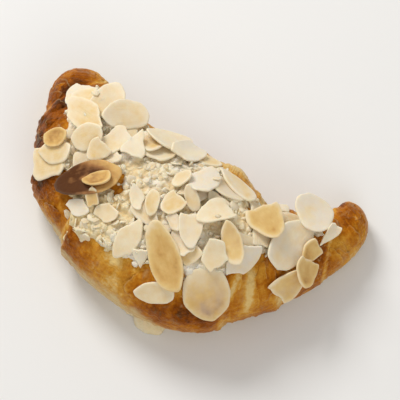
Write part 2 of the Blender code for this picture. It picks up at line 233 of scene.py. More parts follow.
def skin(rings, first_pole, last_pole):
    """Corners and faces of a closed skin over rings of points, with a pole at each end."""
    count, around, _ = rings.shape
    corners = np.vstack((first_pole, rings.reshape(-1, 3), last_pole))
    ring, place = np.meshgrid(np.arange(count - 1), np.arange(around), indexing="ij")
    beside = (place + 1) % around
    here, there = 1 + ring * around, 1 + (ring + 1) * around
    quads = np.stack((here + place, here + beside, there + beside, there + place), axis=-1)
    start, last = np.arange(around), len(corners) - 1
    end = (start + 1) % around
    first_fan = np.stack((1 + end, 1 + start, 0 * start), axis=-1)
    last_fan = np.stack((last - around + start, last - around + end, last + 0 * start), axis=-1)
    return corners, quads.reshape(-1, 4).tolist() + first_fan.tolist() + last_fan.tolist()


def with_poles(values, first=0.0, last=0.0):
    """One number for each corner of a skin: at its first pole, its rings and its last pole."""
    return np.concatenate(([first], values.ravel(), [last]))


def set_attribute(mesh, name, values):
    """Stores one number, whole number or vector for each corner."""
    values = np.asarray(values)
    if values.ndim == 2:
        kind, field, values = "FLOAT_VECTOR", "vector", values.astype(float)
    else:
        kind, field = ("INT" if values.dtype.kind == "i" else "FLOAT"), "value"
    mesh.attributes.new(name, kind, "POINT").data.foreach_set(field, values.ravel())


def mesh_from(name, corners, faces, **attributes):
    """A smooth mesh whose faces point outwards, with its attributes."""
    mesh = bpy.data.meshes.new(name)
    mesh.from_pydata(np.asarray(corners).tolist(), [], faces)
    for label, values in attributes.items():
        set_attribute(mesh, label, values)
    work = bmesh.new()
    work.from_mesh(mesh)
    bmesh.ops.recalc_face_normals(work, faces=work.faces)
    work.to_mesh(mesh)
    work.free()
    mesh.shade_smooth()
    return mesh


def show(name, data):
    """A mesh, lamp or camera as an object of the scene."""
    made = bpy.data.objects.new(name, data)
    bpy.context.scene.collection.objects.link(made)
    return made


print("ready to skin rings")

# %% [markdown]
# ## Sums inside node trees
#
# Materials and Geometry Nodes are both trees of nodes. Placing each node by hand in the editor
# works, but a script has to say the same few things again and again. Here a field stands for what
# flows out of a node, and adding or multiplying fields puts the Math node in by itself, so a
# pattern reads like the sum that it is.

# %% Fields and nodes


class Field:
    """A number, vector, colour or geometry on its way through a tree."""

    def __init__(self, tree, socket):
        self.tree, self.socket = tree, socket

    def maths(self, operation, *values):
        return fit(self.tree, "ShaderNodeMath", dict(enumerate(values)), operation=operation)

    def __add__(self, other):
        return self.maths("ADD", self, other)

    def __sub__(self, other):
        return self.maths("SUBTRACT", self, other)

    def __rsub__(self, other):
        return self.maths("SUBTRACT", other, self)

    def __mul__(self, other):
        return self.maths("MULTIPLY", self, other)

    def __rtruediv__(self, other):
        return self.maths("DIVIDE", other, self)

    def __abs__(self):
        return self.maths("ABSOLUTE", self)


def feed(socket, value):
    """Links a field to a socket, or sets the socket's own number, vector or colour."""
    if isinstance(value, Field):
        value.tree.links.new(value.socket, socket)
    else:
        socket.default_value = (*value, 1.0) if socket.type == "RGBA" else value


def fit(tree, kind, inputs=None, output=0, **settings):
    """Puts a node in a tree, feeds its inputs and returns what comes out of it."""
    made = tree.nodes.new(kind)
    for name, value in settings.items():
        setattr(made, name, value)
    for name, value in (inputs or {}).items():
        feed(made.inputs[name], value)
    return Field(tree, made.outputs[output])


def combine(tree, operation, *vectors):
    return fit(tree, "ShaderNodeVectorMath", dict(enumerate(vectors)), operation=operation)


def scaled(vector, share):
    return fit(vector.tree, "ShaderNodeVectorMath", {0: vector, "Scale": share}, operation="SCALE")


def stretch(vector, sizes):
    """A vector measured in cells of the given sizes, for a pattern that is longer one way."""
    return combine(vector.tree, "MULTIPLY", vector, [1 / size for size in sizes])


def parts(vector):
    """The three numbers of a vector."""
    first = fit(vector.tree, "ShaderNodeSeparateXYZ", {0: vector})
    return [Field(vector.tree, socket) for socket in first.socket.node.outputs]


def grain(vector, size, detail=2.0, roughness=0.5, distortion=0.0, output=0):
    """Noise around 0.5 whose patches are about as large as size, in metres."""
    inputs = {"Vector": vector, "Scale": 1 / size, "Detail": detail}
    inputs |= {"Roughness": roughness, "Distortion": distortion}
    return fit(vector.tree, "ShaderNodeTexNoise", inputs, output)


def bubbles(vector, size, smoothness):
    """0 in the middle of each round cell, rising to its border."""
    inputs = {"Vector": vector, "Scale": 1 / size, "Smoothness": smoothness}
    return fit(vector.tree, "ShaderNodeTexVoronoi", inputs, feature="SMOOTH_F1")


def rise(value, low, high):
    """0 below low, 1 above high and a smooth slope between them."""
    inputs = {"Value": value, "From Min": low, "From Max": high}
    return fit(value.tree, "ShaderNodeMapRange", inputs, interpolation_type="SMOOTHSTEP")


print("ready to build trees")

# %% [markdown]
# ## Growing a form with Geometry Nodes
#
# A Geometry Nodes tree changes a plain mesh into a finished one by rule. Its inputs are named, so
# sizes can be tried out in the modifier panel. When the form is right, the result is kept as a
# plain mesh, because instances and live modifiers are lost when a model is exported.

# %% Helpers for Geometry Nodes
SOCKETS = {float: "Float", bpy.types.Material: "Material", bpy.types.Collection: "Collection"}


def start_tree(name, values):
    """A Geometry Nodes tree with a named input for each value; returns it and its inputs."""
    tree = bpy.data.node_groups.new(name, "GeometryNodeTree")
    tree.interface.new_socket("Geometry", in_out="INPUT", socket_type="NodeSocketGeometry")
    for label, value in values.items():
        kind = "NodeSocket" + SOCKETS[type(value)]
        tree.interface.new_socket(label, in_out="INPUT", socket_type=kind)
    tree.interface.new_socket("Geometry", in_out="OUTPUT", socket_type="NodeSocketGeometry")
    given = tree.nodes.new("NodeGroupInput").outputs
    return tree, {socket.name: Field(tree, socket) for socket in given}


def realize(geometry):
    return fit(geometry.tree, "GeometryNodeRealizeInstances", {"Geometry": geometry})


def end_tree(geometry, material):
    """Every tree ends in real faces that carry their material."""
    inputs = {"Geometry": realize(geometry), "Material": material}
    painted = fit(geometry.tree, "GeometryNodeSetMaterial", inputs)
    feed(geometry.tree.nodes.new("NodeGroupOutput").inputs["Geometry"], painted)
    return geometry.tree


def attribute_of(tree, name, kind="FLOAT"):
    return fit(tree, "GeometryNodeInputNamedAttribute", {"Name": name}, data_type=kind)


def remember(geometry, name, value):
    """Keeps a number on the mesh, for the material to read."""
    inputs = {"Geometry": geometry, "Name": name, "Value": value}
    return fit(geometry.tree, "GeometryNodeStoreNamedAttribute", inputs)


def push(geometry, direction, distance):
    """Moves every point along a direction."""
    inputs = {"Geometry": geometry, "Offset": scaled(direction, distance)}
    return fit(geometry.tree, "GeometryNodeSetPosition", inputs)


def grow(plan, tree, values):
    """Runs a tree on an object and keeps the result as its plain mesh."""
    modifier = plan.modifiers.new(tree.name, "NODES")
    modifier.node_group = tree
    for item in tree.interface.items_tree:
        if item.in_out == "INPUT" and item.name in values:
            modifier[item.identifier] = values[item.name]
    graph = bpy.context.evaluated_depsgraph_get()
    grown = plan.evaluated_get(graph)
    made = bpy.data.meshes.new_from_object(grown, preserve_all_data_layers=True, depsgraph=graph)
    plan.modifiers.clear()
    plan.data = made
    made.shade_smooth()
    print(plan.name, "has", sum(len(face.vertices) - 2 for face in made.polygons), "triangles")
    return plan


print("ready to grow forms")

# %% [markdown]
# ## The crust's finish
#
# Baked dough runs from pale gold where it was shaded from the heat to deep brown where it swelled
# towards the heat. It is mottled with small blisters, and paler where a flake broke off and at the
# foot, which the tray kept cooler. A picture could be wrapped round it, but noise read in the
# object's own space never stretches, so the tone comes from several sizes of noise plus what the
# mesh remembers about its wraps and its spots, two of them painted shade and one partly a painted
# highlight.

# %% Helpers for materials


def new_material(name, **sockets):
    """A material with its shader's plain settings, and the object's own coordinates."""
    material = bpy.data.materials.new(name)
    material.use_nodes = True
    for label, value in sockets.items():
        feed(material.node_tree.nodes["Principled BSDF"].inputs[label.replace("_", " ")], value)
    return material, fit(material.node_tree, "ShaderNodeTexCoord", output="Object")


def paint(material, colour, height, distance):
    """Gives a material its colour and its finest relief."""
    shader = material.node_tree.nodes["Principled BSDF"].inputs
    feed(shader["Base Color"], colour)
    inputs = {"Height": height, "Distance": distance, "Strength": 1.0}
    feed(shader["Normal"], fit(material.node_tree, "ShaderNodeBump", inputs))
    print("made", material.name)
    return material


def read(place, name, output="Fac"):
    """What the mesh remembers under a name."""
    return fit(place.tree, "ShaderNodeAttribute", output=output, attribute_name=name)


def ramp(value, stops):
    """A colour for each value, smooth between the stops."""
    made = fit(value.tree, "ShaderNodeValToRGB", {"Fac": value})
    points = made.socket.node.color_ramp.elements
    while len(points) < len(stops):
        points.new(1.0)
    for point, (place, colour) in zip(points, stops):
        point.position, point.color = place, (*colour, 1.0)
    return made


def mix(share, first, second):
    """A colour between two others."""
    return fit(share.tree, "ShaderNodeMix", {0: share, 6: first, 7: second}, 2, data_type="RGBA")


print("ready to mix finishes")

# %% Crust material
BAKE_TONES = (
    (0.00, (0.76, 0.53, 0.20)),
    (0.22, (0.64, 0.31, 0.040)),
    (0.46, (0.47, 0.160, 0.009)),
    (0.72, (0.27, 0.067, 0.002)),
    (1.00, (0.075, 0.017, 0.001)),
)
UNDERSIDE_TONES = ((0.35, (0.36, 0.16, 0.04)), (0.7, (0.20, 0.07, 0.012)))
UNBAKED = (0.68, 0.52, 0.25)
FLAKE_EDGE = (0.80, 0.60, 0.30)
GLOSS = {"Roughness": 0.36, "Specular_IOR_Level": 0.08, "Specular_Tint": (1.0, 0.62, 0.26)}


def crust_material():
    material, place = new_material("baked_crust", **GLOSS)
    flow, bake = read(place, "flow", "Vector"), read(place, "bake")
    patches = grain(place, 0.017)
    mottle = grain(place, 0.0060, 3.0, 0.55, 0.3)
    blotches = grain(place, 0.0017, 3.0, 0.6)
    streaks = grain(stretch(flow, (0.0019, 0.016, 0.016)), 1.0, 3.0, 0.6)
    # Each noise is around 0.5, so what is taken off leaves a golden brown.
    # The remembered tone holds baking, and also painted shade and a painted highlight.
    tone = patches * 0.95 + mottle * 0.65 + blotches * 0.55 + streaks * 0.50 + bake - 0.99
    colour = mix(read(place, "flaked") * 0.30, ramp(tone, BAKE_TONES), FLAKE_EDGE)
    ragged = read(place, "foot") + mottle * 1.3 + streaks * 0.7 - 1.0
    layers = grain(stretch(flow, (0.030, 0.050, 0.0014)), 1.0, 3.0, 0.6, 0.4)
    foot = rise(ragged, 0.05, 0.95) * rise(layers * 0.9 + mottle * 0.7, 0.35, 1.0)
    colour = mix(foot, colour, UNBAKED)
    colour = mix(read(place, "under"), colour, ramp(blotches + bake, UNDERSIDE_TONES))
    return paint(material, colour, blotches * 0.9 + streaks * 0.7, 0.0009)


CRUST = crust_material()

# %% [markdown]
# ## The crust
#
# The skin of the roll is a fine loft over the same ribs as the solid. Its coarse form comes from
# the rule, and a Geometry Nodes tree then roughens it: streaks where the dough stretched round the
# roll, blisters, and shallow patches where the outermost layer flaked away. Sculpting would take
# hours for the same unevenness, and displacement in the material alone would be lost on export.

# %% Crust skin
CRUST_RINGS = 560
TOP_SIDES, BOTTOM_SIDES = 132, 34
TIP_CROWDING = 0.85  # how much closer together the rings are at the tips
FOOT_LINE, FOOT_RISE = 0.0050, 0.0155
FOOT_ANGLE, FOOT_SPREAD = -14, 20  # degrees, where the foot stands highest and how far round
FOOT_FADE = 0.0100
UNDER_EDGE = 0.0012
TOP_BROWNER, OUTSIDE_BROWNER = 0.08, 0.03
# A wrap's lip is paler and the dough behind it browner: change of tone, degrees past it, spread.
LIP_TONES = ((-0.30, 0.0, 0.8), (0.16, -3.0, 2.2))
# Paler and darker places, most from baking, two of them painted shade and one partly a painted
# highlight: angle, degrees up the rib, their spreads, and how much darker they are.
BAKE_AND_PAINTED_LIGHT_SPOTS = (
    # partly pale dough at the step and partly a painted highlight on the ridge
    (24.8, 42, 1.2, 34, -0.46),  # a light ridge right of the round slice
    (31.5, 14, 2.5, 14, -0.25),
    (-4, 20, 6.0, 15, -0.30),  # pale where the cream ran out
    (-12, 50, 9.0, 18, -0.26),
    (20, 44, 6.0, 22, -0.16),
    (9, 21, 10.0, 15, 0.50),
    # painted shade over the left flank
    (-44, 34, 14.0, 26, 0.56),
    # painted shade over the upper left of the roll
    (-60, 80, 8.0, 40, 0.60),
    (53, 58, 4.0, 26, -0.30),
    (62.6, 160, 1.8, 22, 0.85),  # a burnt spot at the tip
    (60, 105, 5.0, 40, 0.20),
    (10, 152, 16.0, 22, -0.34),  # golden inner edge
)


def roll_points(angle, turn, paged=True):
    """Points of the bare roll, without its cream: arrays of angles and of turns round the rib."""
    outward, upward = np.cos(turn), np.sin(turn)
    rounding = tip_rounding(angle)
    swell = swelling(angle, outward, turn if paged else None) * rounding
    height = rib_measure(HEIGHT, angle)
    offset = half_width(angle, outward) * swell * outward
    widest = WIDEST * height
    x, y = on_plan(angle, roll_line(angle) + offset)
    above = widest + (height - widest) * swell * np.clip(upward, 0, 1) ** SHOULDER
    below = widest - widest * UNDERSIDE_DROP * rounding * np.clip(-upward, 0, 1) ** UNDERSIDE_ROUND
    return np.stack((x, y, np.where(upward >= 0, above, np.maximum(below, 0.0))), axis=-1), offset


def baking_and_painted_light(angle, turn):
    """How much darker or paler a place is than its surroundings."""
    across = np.cos(turn)
    tone = TOP_BROWNER * np.sin(turn) + OUTSIDE_BROWNER * across
    for end in WRAP_ENDS:
        for change, place, spread in LIP_TONES:
            away = (past_wrap(end, angle, across) - place) / spread
            tone = tone + change * np.exp(-(away**2))
    for place, up, spread, spread_up, change in BAKE_AND_PAINTED_LIGHT_SPOTS:
        away = ((angle - place) / spread) ** 2 + ((np.degrees(turn) - up) / spread_up) ** 2
        tone = tone + change * np.exp(-away)
    return tone


def foot_share(angle, turn, z):
    """1 at the unbaked foot, 0 above it; the foot stands highest on the left of the belly."""
    risen = np.exp(-(((angle - FOOT_ANGLE) / FOOT_SPREAD) ** 4)) * (np.cos(turn) > 0)
    return smooth_step((FOOT_LINE + FOOT_RISE * risen - z) / FOOT_FADE + 0.5)


def crust_skin():
    steps = np.arange(1, CRUST_RINGS) / CRUST_RINGS
    share = steps - TIP_CROWDING * np.sin(2 * math.pi * steps) / (2 * math.pi)
    over = np.linspace(0, math.pi, TOP_SIDES, endpoint=False)
    under = np.linspace(math.pi, 2 * math.pi, BOTTOM_SIDES, endpoint=False)
    angle = FIRST_ANGLE + (LAST_ANGLE - FIRST_ANGLE) * share
    angle, turn = np.meshgrid(angle, np.append(over, under), indexing="ij")
    rings, offset = roll_points(angle, turn)
    z = rings[..., 2]
    tips = np.array((FIRST_ANGLE, LAST_ANGLE))
    tip_heights = WIDEST * rib_measure(HEIGHT, tips)
    corners, faces = skin(rings, *np.column_stack((*on_plan(tips, roll_line(tips)), tip_heights)))
    along = with_poles(np.radians(angle), *np.radians(tips)) * BEND_RADIUS
    flow = np.column_stack((along, with_poles(offset), with_poles(z, *tip_heights)))
    bake, foot = with_poles(baking_and_painted_light(angle, turn)), with_poles(foot_share(angle, turn, z))
    under = with_poles(smooth_step((UNDER_EDGE - z) / UNDER_EDGE))
    return mesh_from("crust", corners, faces, flow=flow, bake=bake, foot=foot, under=under)


# %% Crust relief
RELIEF = {
    "Material": CRUST,
    "Streak width": 0.0021,
    "Streak length": 0.016,
    "Streak height": 0.00045,
    "Blister size": 0.0032,
    "Blister height": 0.00050,
    "Blister patches": 0.013,
    "Flake size": 0.0085,
    "Flake depth": 0.00035,
    "Flake level": 0.565,
}
BLISTERED = (0.42, 0.60)  # blisters set in between these levels of the patches' noise
BLISTER_SIDE = (0.05, 0.6)
FLAKE_STEP, FLAKE_RIM = 0.03, 0.016  # how far past its level a flake's step and its rim reach
ABOVE_TABLE = (0.0005, 0.004)  # the heights between which the relief sets in


def relief_tree():
    tree, given = start_tree("crust_relief", RELIEF)
    place = fit(tree, "GeometryNodeInputPosition")
    wide, long = 1 / given["Streak width"], 1 / given["Streak length"]
    sizes = fit(tree, "ShaderNodeCombineXYZ", {0: wide, 1: long, 2: long})
    flow = combine(tree, "MULTIPLY", attribute_of(tree, "flow", "FLOAT_VECTOR"), sizes)
    streak = (grain(flow, 1.0) - 0.5) * 2.0
    patches = rise(grain(place, given["Blister patches"]), *BLISTERED)
    blister = (1 - rise(bubbles(place, given["Blister size"], 0.4), *BLISTER_SIDE)) * patches
    flaking = grain(place, given["Flake size"], 4.0, 0.55, 0.6) - given["Flake level"]
    edge = (1 - rise(abs(flaking), 0.0, FLAKE_RIM)) * patches
    height = streak * given["Streak height"] + blister * given["Blister height"]
    height = height - rise(flaking, 0.0, FLAKE_STEP) * given["Flake depth"]
    height = height * rise(parts(place)[2], *ABOVE_TABLE)
    kept = remember(given["Geometry"], "flaked", edge)
    return end_tree(push(kept, fit(tree, "GeometryNodeInputNormal"), height), given["Material"])


crust = grow(show("crust", crust_skin()), relief_tree(), RELIEF)

# %% [markdown]
# ## The bed of almond cream
#
# Almond cream bakes to a crumbly crust of its own, pale and rough, with a ragged edge. Its form
# follows the top of the roll, a little higher, and its border dips under the crust, so the edge
# draws itself where the two skins meet. Round lumps from a Voronoi pattern with finer ones on them
# look like baked crumb; the hollows between the lumps are remembered for a darker gold that is
# painted shade.

# %% Cream material
# From pale on the lumps to darker gold in the hollows, where the darker gold is painted shade.
CREAM_TONES = ((0.20, (0.86, 0.77, 0.57)), (0.62, (0.83, 0.70, 0.45)), (1.0, (0.79, 0.62, 0.36)))
CREAM_BAKED = (0.74, 0.54, 0.26)
CREAM_SUGAR = (0.85, 0.79, 0.67)
CREAM_YELLOW = (0.76, 0.58, 0.27)
# Light goes a little way into cream and almonds and comes out warmer.
SOFT = {
    "Subsurface_Weight": 0.30,
    "Subsurface_Radius": (1.0, 0.75, 0.50),
    "Subsurface_Scale": 0.0009,
}


def cream_material():
    material, place = new_material("almond_cream", Roughness=0.75, Specular_IOR_Level=0.25, **SOFT)
    patches = grain(place, 0.009, 3.0)
    crumbs = grain(place, 0.0013, 4.0, 0.6)
    # Darker gold in the hollows and on the crumbs' undersides is painted shade.
    colour = ramp(read(place, "hollow") + crumbs * 0.7 - 0.35, CREAM_TONES)
    colour = mix(rise(patches, 0.45, 0.7), colour, CREAM_SUGAR)
    colour = mix(rise(patches, 0.46, 0.28) * 0.3, colour, CREAM_BAKED)
    colour = mix(read(place, "warm") * 0.7, colour, CREAM_YELLOW)
    return paint(material, colour, crumbs, 0.0006)


CREAM = cream_material()

# %% Cream bed
BED_ENDS = (-61, 51)
# Angle round the bend, then where the cream ends inside and outside the arc, in shares of width.
BED_BORDERS = np.array((
    (-61, -0.86, 0.30), (-50, -0.86, 0.42), (-40, -0.86, 0.62), (-33, -0.86, 0.64),
    (-29, -0.86, 0.73), (-22, -0.86, 0.87), (-14, -0.86, 0.79), (-3, -0.86, 0.67),
    (9, -0.80, 0.60), (18, -0.74, 0.54), (24, -0.76, 0.40), (28, -0.74, 0.22),
    (33, -0.50, 0.32), (38, -0.60, 0.40), (44, -0.80, 0.34), (51, -0.80, 0.10),
))
# Holes in the cream where the crust shows: angle, distance outside the arc and size in millimetres.
BED_HOLES = ((-23.2, 2.5, 1.7), (-22.2, 5.0, 1.2), (47.2, 2.2, 3.2))
BED_SPAN = (-0.93, 0.94)
BED_MARGIN = 2.0  # degrees past each end where the bed is already under the crust
BED_RINGS, BED_COLUMNS = 330, 170
BURIED = -0.01  # the edge value at the poles, far outside the border
# The heap on the left is yellower: its angle and spread in degrees, then how far outside the arc.
WARM_ANGLE, WARM_SPREAD = -25, 12
WARM_START, WARM_FADE = 0.003, 0.008
BED = {
    "Material": CREAM,
    "Thickness": 0.0017,
    "Sink": 0.0026,
    "Edge fade": 0.0026,
    "Depth beside": 0.0042,
    "Ragged by": 0.0034,
    "Ragged size": 0.0045,
    "Lump size": 0.0030,
    "Lump height": 0.0016,
    "Crumb size": 0.0016,
    "Crumb height": 0.00045,
}
RAGGED_GAIN, ROUGH_GAIN = 4.0, 1.6
EDGE_START = -0.0010
BESIDE = (-0.012, -0.002)  # how far outside its border the bed sinks deeper still
LUMP_MEAN, CRUMB_MEAN = 0.45, 0.42  # what the two patterns are on average
WARP_SIZE, LUMP_WARP = 1 / 1.4, (0.9, 0.9, 0.9)  # in lumps


def bed_border(angle, across):
    """How far a place is inside the bed's inner and outer borders, as a share of the width."""
    inner, outer = (np.interp(angle, BED_BORDERS[:, 0], BED_BORDERS[:, side]) for side in (1, 2))
    return np.minimum(across - inner, outer - across)


def warmth(angle, offset):
    """How yellow the cream is at a place."""
    near = np.exp(-(((angle - WARM_ANGLE) / WARM_SPREAD) ** 2))
    return near * smooth_step((offset - WARM_START) / WARM_FADE)


def bed_skin():
    angle = np.linspace(BED_ENDS[0] - BED_MARGIN, BED_ENDS[1] + BED_MARGIN, BED_RINGS)
    angle, across = np.meshgrid(angle, np.linspace(*BED_SPAN[::-1], BED_COLUMNS), indexing="ij")
    rings, offset = roll_points(angle, np.arccos(across), paged=False)
    to_end = np.radians(np.minimum(angle - BED_ENDS[0], BED_ENDS[1] - angle)) * BEND_RADIUS
    edge = np.minimum(to_end, bed_border(angle, across) * half_width(angle, across))
    for place, distance, size in BED_HOLES:
        aside = np.radians(angle - place) * (BEND_RADIUS + offset)
        edge = np.minimum(edge, np.hypot(aside, offset - distance * MM) - size * MM)
    corners, faces = skin(rings, rings[0].mean(axis=0), rings[-1].mean(axis=0))
    edge, warm = with_poles(edge, BURIED, BURIED), with_poles(warmth(angle, offset))
    return mesh_from("cream_bed", corners, faces, edge=edge, warm=warm)


def bed_tree():
    tree, given = start_tree("cream_relief", BED)
    place = fit(tree, "GeometryNodeInputPosition")
    ragged = (grain(place, given["Ragged size"], 3.0) - 0.5) * given["Ragged by"] * RAGGED_GAIN
    edge = ragged + attribute_of(tree, "edge")
    cover = rise(edge, EDGE_START, given["Edge fade"])
    cell = scaled(place, 1 / given["Lump size"])
    bent = combine(tree, "MULTIPLY_ADD", grain(cell, WARP_SIZE, output=1), LUMP_WARP, cell)
    lump, crumb = bubbles(bent, 1.0, 0.25), bubbles(place, given["Crumb size"], 0.3)
    rough = (LUMP_MEAN - lump) * given["Lump height"] + (CRUMB_MEAN - crumb) * given["Crumb height"]
    height = (rough * ROUGH_GAIN + given["Thickness"]) * cover - (1 - cover) * given["Sink"]
    height = height - (1 - rise(edge, *BESIDE)) * given["Depth beside"]
    up = fit(tree, "ShaderNodeCombineXYZ", {2: 1.0})
    # How deep in a hollow each point lies, kept for the painted shade.
    kept = remember(given["Geometry"], "hollow", rise(crumb * 0.5 + lump, 0.35, 1.0))
    return end_tree(push(kept, up, height), given["Material"])


cream_bed = grow(show("cream_bed", bed_skin()), bed_tree(), BED)

# %% [markdown]
# ## Where the slices come to rest
#
# A slice of almond dropped on the bed tips until nothing under it holds it up any more. A grid of
# heights over the plan is enough to find that place: each slice looks for its lowest plane that
# nothing pokes through, and then it raises the grid for the next one. A physics simulation could do
# the same, but this search is fast and gives the same pile on every run.

# %% The grid of heights
BED_THICKNESS = 0.0022
BED_FADE = 0.16
BED_LUMP, LUMP_SIZE, LUMP_STRETCH, LUMP_DRIFT = 0.0007, 0.0018, 1.15, 0.0055
GRID_STEP, GRID_MARGIN = 0.001, 0.004


def bed_height(angle, across, x, y):
    """Thickness of the cream that the slices rest on."""
    ends = (angle - BED_ENDS[0]) * (BED_ENDS[1] - angle)
    along = smooth_step(ends / (abs(BED_ENDS[0]) * BED_ENDS[1] * BED_FADE))
    sides = smooth_step(bed_border(angle, across) / BED_FADE)
    lumps = np.sin(x / LUMP_SIZE + np.sin(y / LUMP_DRIFT)) * np.cos(y / (LUMP_SIZE * LUMP_STRETCH))
    return along * sides * (BED_THICKNESS + BED_LUMP * lumps)


def roll_top(x, y):
    """Height of the covered roll's top over any places on the plan, and 0 beside it."""
    aside, ahead = x - BEND_CENTRE.x, BEND_CENTRE.y - y
    angle = np.degrees(np.arctan2(aside, ahead))
    inside_tips = (angle > FIRST_ANGLE) & (angle < LAST_ANGLE)
    held = np.clip(angle, FIRST_ANGLE, LAST_ANGLE)
    offset = np.hypot(aside, ahead) - BEND_RADIUS - roll_line(held)
    rounding = tip_rounding(held)
    plain = half_width(held, offset) * np.maximum(rounding, LEAST_ROUNDING)
    swell = swelling(held, np.clip(offset / plain, -1, 1))
    across = np.clip(offset / (plain * swell), -1, 1)
    upward = np.sqrt(1 - across**2)
    height = rib_measure(HEIGHT, held)
    widest = WIDEST * height
    dome = widest + (height - widest) * swell * rounding * upward**SHOULDER
    bed = bed_height(held, across, x, y) * rounding * upward
    return np.where(inside_tips & (np.abs(across) < 1), dome + bed, 0.0)


grid_reach = BEND_RADIUS + RIBS[:, OUTER].max() * MM + GRID_MARGIN
grid_x, grid_y = np.meshgrid(
    np.arange(BEND_CENTRE.x - grid_reach, BEND_CENTRE.x + grid_reach, GRID_STEP),
    np.arange(BEND_CENTRE.y - grid_reach, BEND_CENTRE.y + GRID_MARGIN, GRID_STEP),
    indexing="ij",
)
tops = roll_top(grid_x, grid_y)
print("top of the bare bed:", in_mm(tops.max()), "mm")

# %% The search for a slice's rest
FOOTPRINT_RINGS, FOOTPRINT_SPOKES = (0.35, 0.7, 1.0), 12
SLOPE_SEARCH = (0.6, 0.3, 0.15, 0.075, 0.04, 0.02)
SLOPE_STEPS = (-2, -1, 0, 1, 2)
STEEPEST = 2.0
SOLID_THICKNESS = 0.0013  # of a slice in the solid, which sets how the pile builds up
SLICE_SINK = 0.0006


def slice_axes(slope_x, slope_y, heading):
    """Unit vectors along a sloping slice, across it and out of it."""
    out = Vector((-slope_x, -slope_y, 1)).normalized()
    forward = Vector((math.cos(heading), math.sin(heading), 0))
    forward.z = slope_x * forward.x + slope_y * forward.y
    forward.normalize()
    return forward, out.cross(forward), out


def footprint(size, slope_x, slope_y, heading):
    """Places on the plan under a sloping slice, from its middle."""
    forward, aside, _ = slice_axes(slope_x, slope_y, heading)
    spoke = full_turn(FOOTPRINT_SPOKES)
    ring = np.array(FOOTPRINT_RINGS)[:, None]
    along = np.append(0, ring * np.cos(spoke) * size[0] / 2)
    across = np.append(0, ring * np.sin(spoke) * size[1] / 2)
    return along * forward.x + across * aside.x, along * forward.y + across * aside.y


def top_at(x, y):
    """The height of all that has been laid so far."""
    steps = np.rint((x - grid_x[0, 0]) / GRID_STEP), np.rint((y - grid_y[0, 0]) / GRID_STEP)
    column, row = (np.clip(step.astype(int), 0, end - 1) for step, end in zip(steps, tops.shape))
    return tops[column, row]


def settle(x, y, heading, size, steepest):
    """A slice's rest: the lowest plane through its middle that nothing pokes through."""
    slope, middle = (0.0, 0.0), 0.0
    for step in SLOPE_SEARCH:
        under_x, under_y = footprint(size, *slope, heading)
        ground = top_at(x + under_x, y + under_y)
        around = [(i * step, j * step) for i in SLOPE_STEPS for j in SLOPE_STEPS]
        tries = np.clip(np.array(slope) + around, -steepest, steepest)
        middles = (ground - tries[:, :1] * under_x - tries[:, 1:] * under_y).max(axis=1)
        best = int(middles.argmin())
        slope, middle = tries[best].tolist(), float(middles[best])
    return x, y, middle - SLICE_SINK, *slope, heading


def raise_tops(rest, size):
    """Raises the heights by a slice that lies at rest."""
    x, y, z, slope_x, slope_y, heading = rest
    forward, aside, _ = slice_axes(slope_x, slope_y, heading)
    from_x, from_y = grid_x - x, grid_y - y
    from_z = slope_x * from_x + slope_y * from_y
    along = forward.x * from_x + forward.y * from_y + forward.z * from_z
    across = aside.x * from_x + aside.y * from_y + aside.z * from_z
    covered = (along / (size[0] / 2)) ** 2 + (across / (size[1] / 2)) ** 2 < 1
    raised = z + from_z + SOLID_THICKNESS * math.hypot(1, slope_x, slope_y)
    np.copyto(tops, np.maximum(tops, raised), where=covered)


print("each slice tries", len(SLOPE_STEPS) ** 2 * len(SLOPE_SEARCH), "slopes")

# %% [markdown]
# ## The list of slices
#
# The lowest slices are scattered by a rule, because little of them shows. The top ones are laid one
# by one like the real ones, each with its own look: how toasted it is, how much sugar dust lies on
# it, and how far it curled in the oven.
# On some slices the grey of the dust is painted shade.

# %% Scattered and laid slices
SCATTER_SEED, SCATTER_COUNT = 7, 44
SCATTER_ENDS, SCATTER_SIDES = (-58, 42), (-0.86, 0.62)
SCATTER_LENGTH, SCATTER_SLENDERNESS = (0.009, 0.017), (0.55, 0.80)
SCATTER_TOAST, SCATTER_DUST, SCATTER_CURL = (0, 0.25), (0, 0.6), (0.2, 0.9)
SCATTER_OUTLINES = ("broken", "torn", "chipped", "shard", "whole", "block")
GOLDEN_SHARE = (math.sqrt(5) - 1) / 2
# Where no slice is scattered, because cream or crust shows bare: angle round the bend and distance
# outside the arc, then the reach along the bend and across it. Degrees and millimetres.
OPEN_PLACES = (
    (-53, 12, 12, 7), (-35, -5, 4, 5), (-25, 2, 5, 4), (-17, -6, 6, 7),
    (-11, 20, 9, 8), (16, 17, 8, 6), (22, -24, 14, 6),
)
# Slices propped up by the cream: their angle and distance, and the steepest that they lie.
PROPPED = {(48.5, -9): 0.3, (51, 0.5): 0.7, (44, 4): 1, (34.5, 15): 1.2, (40.5, 11.5): 1.3}
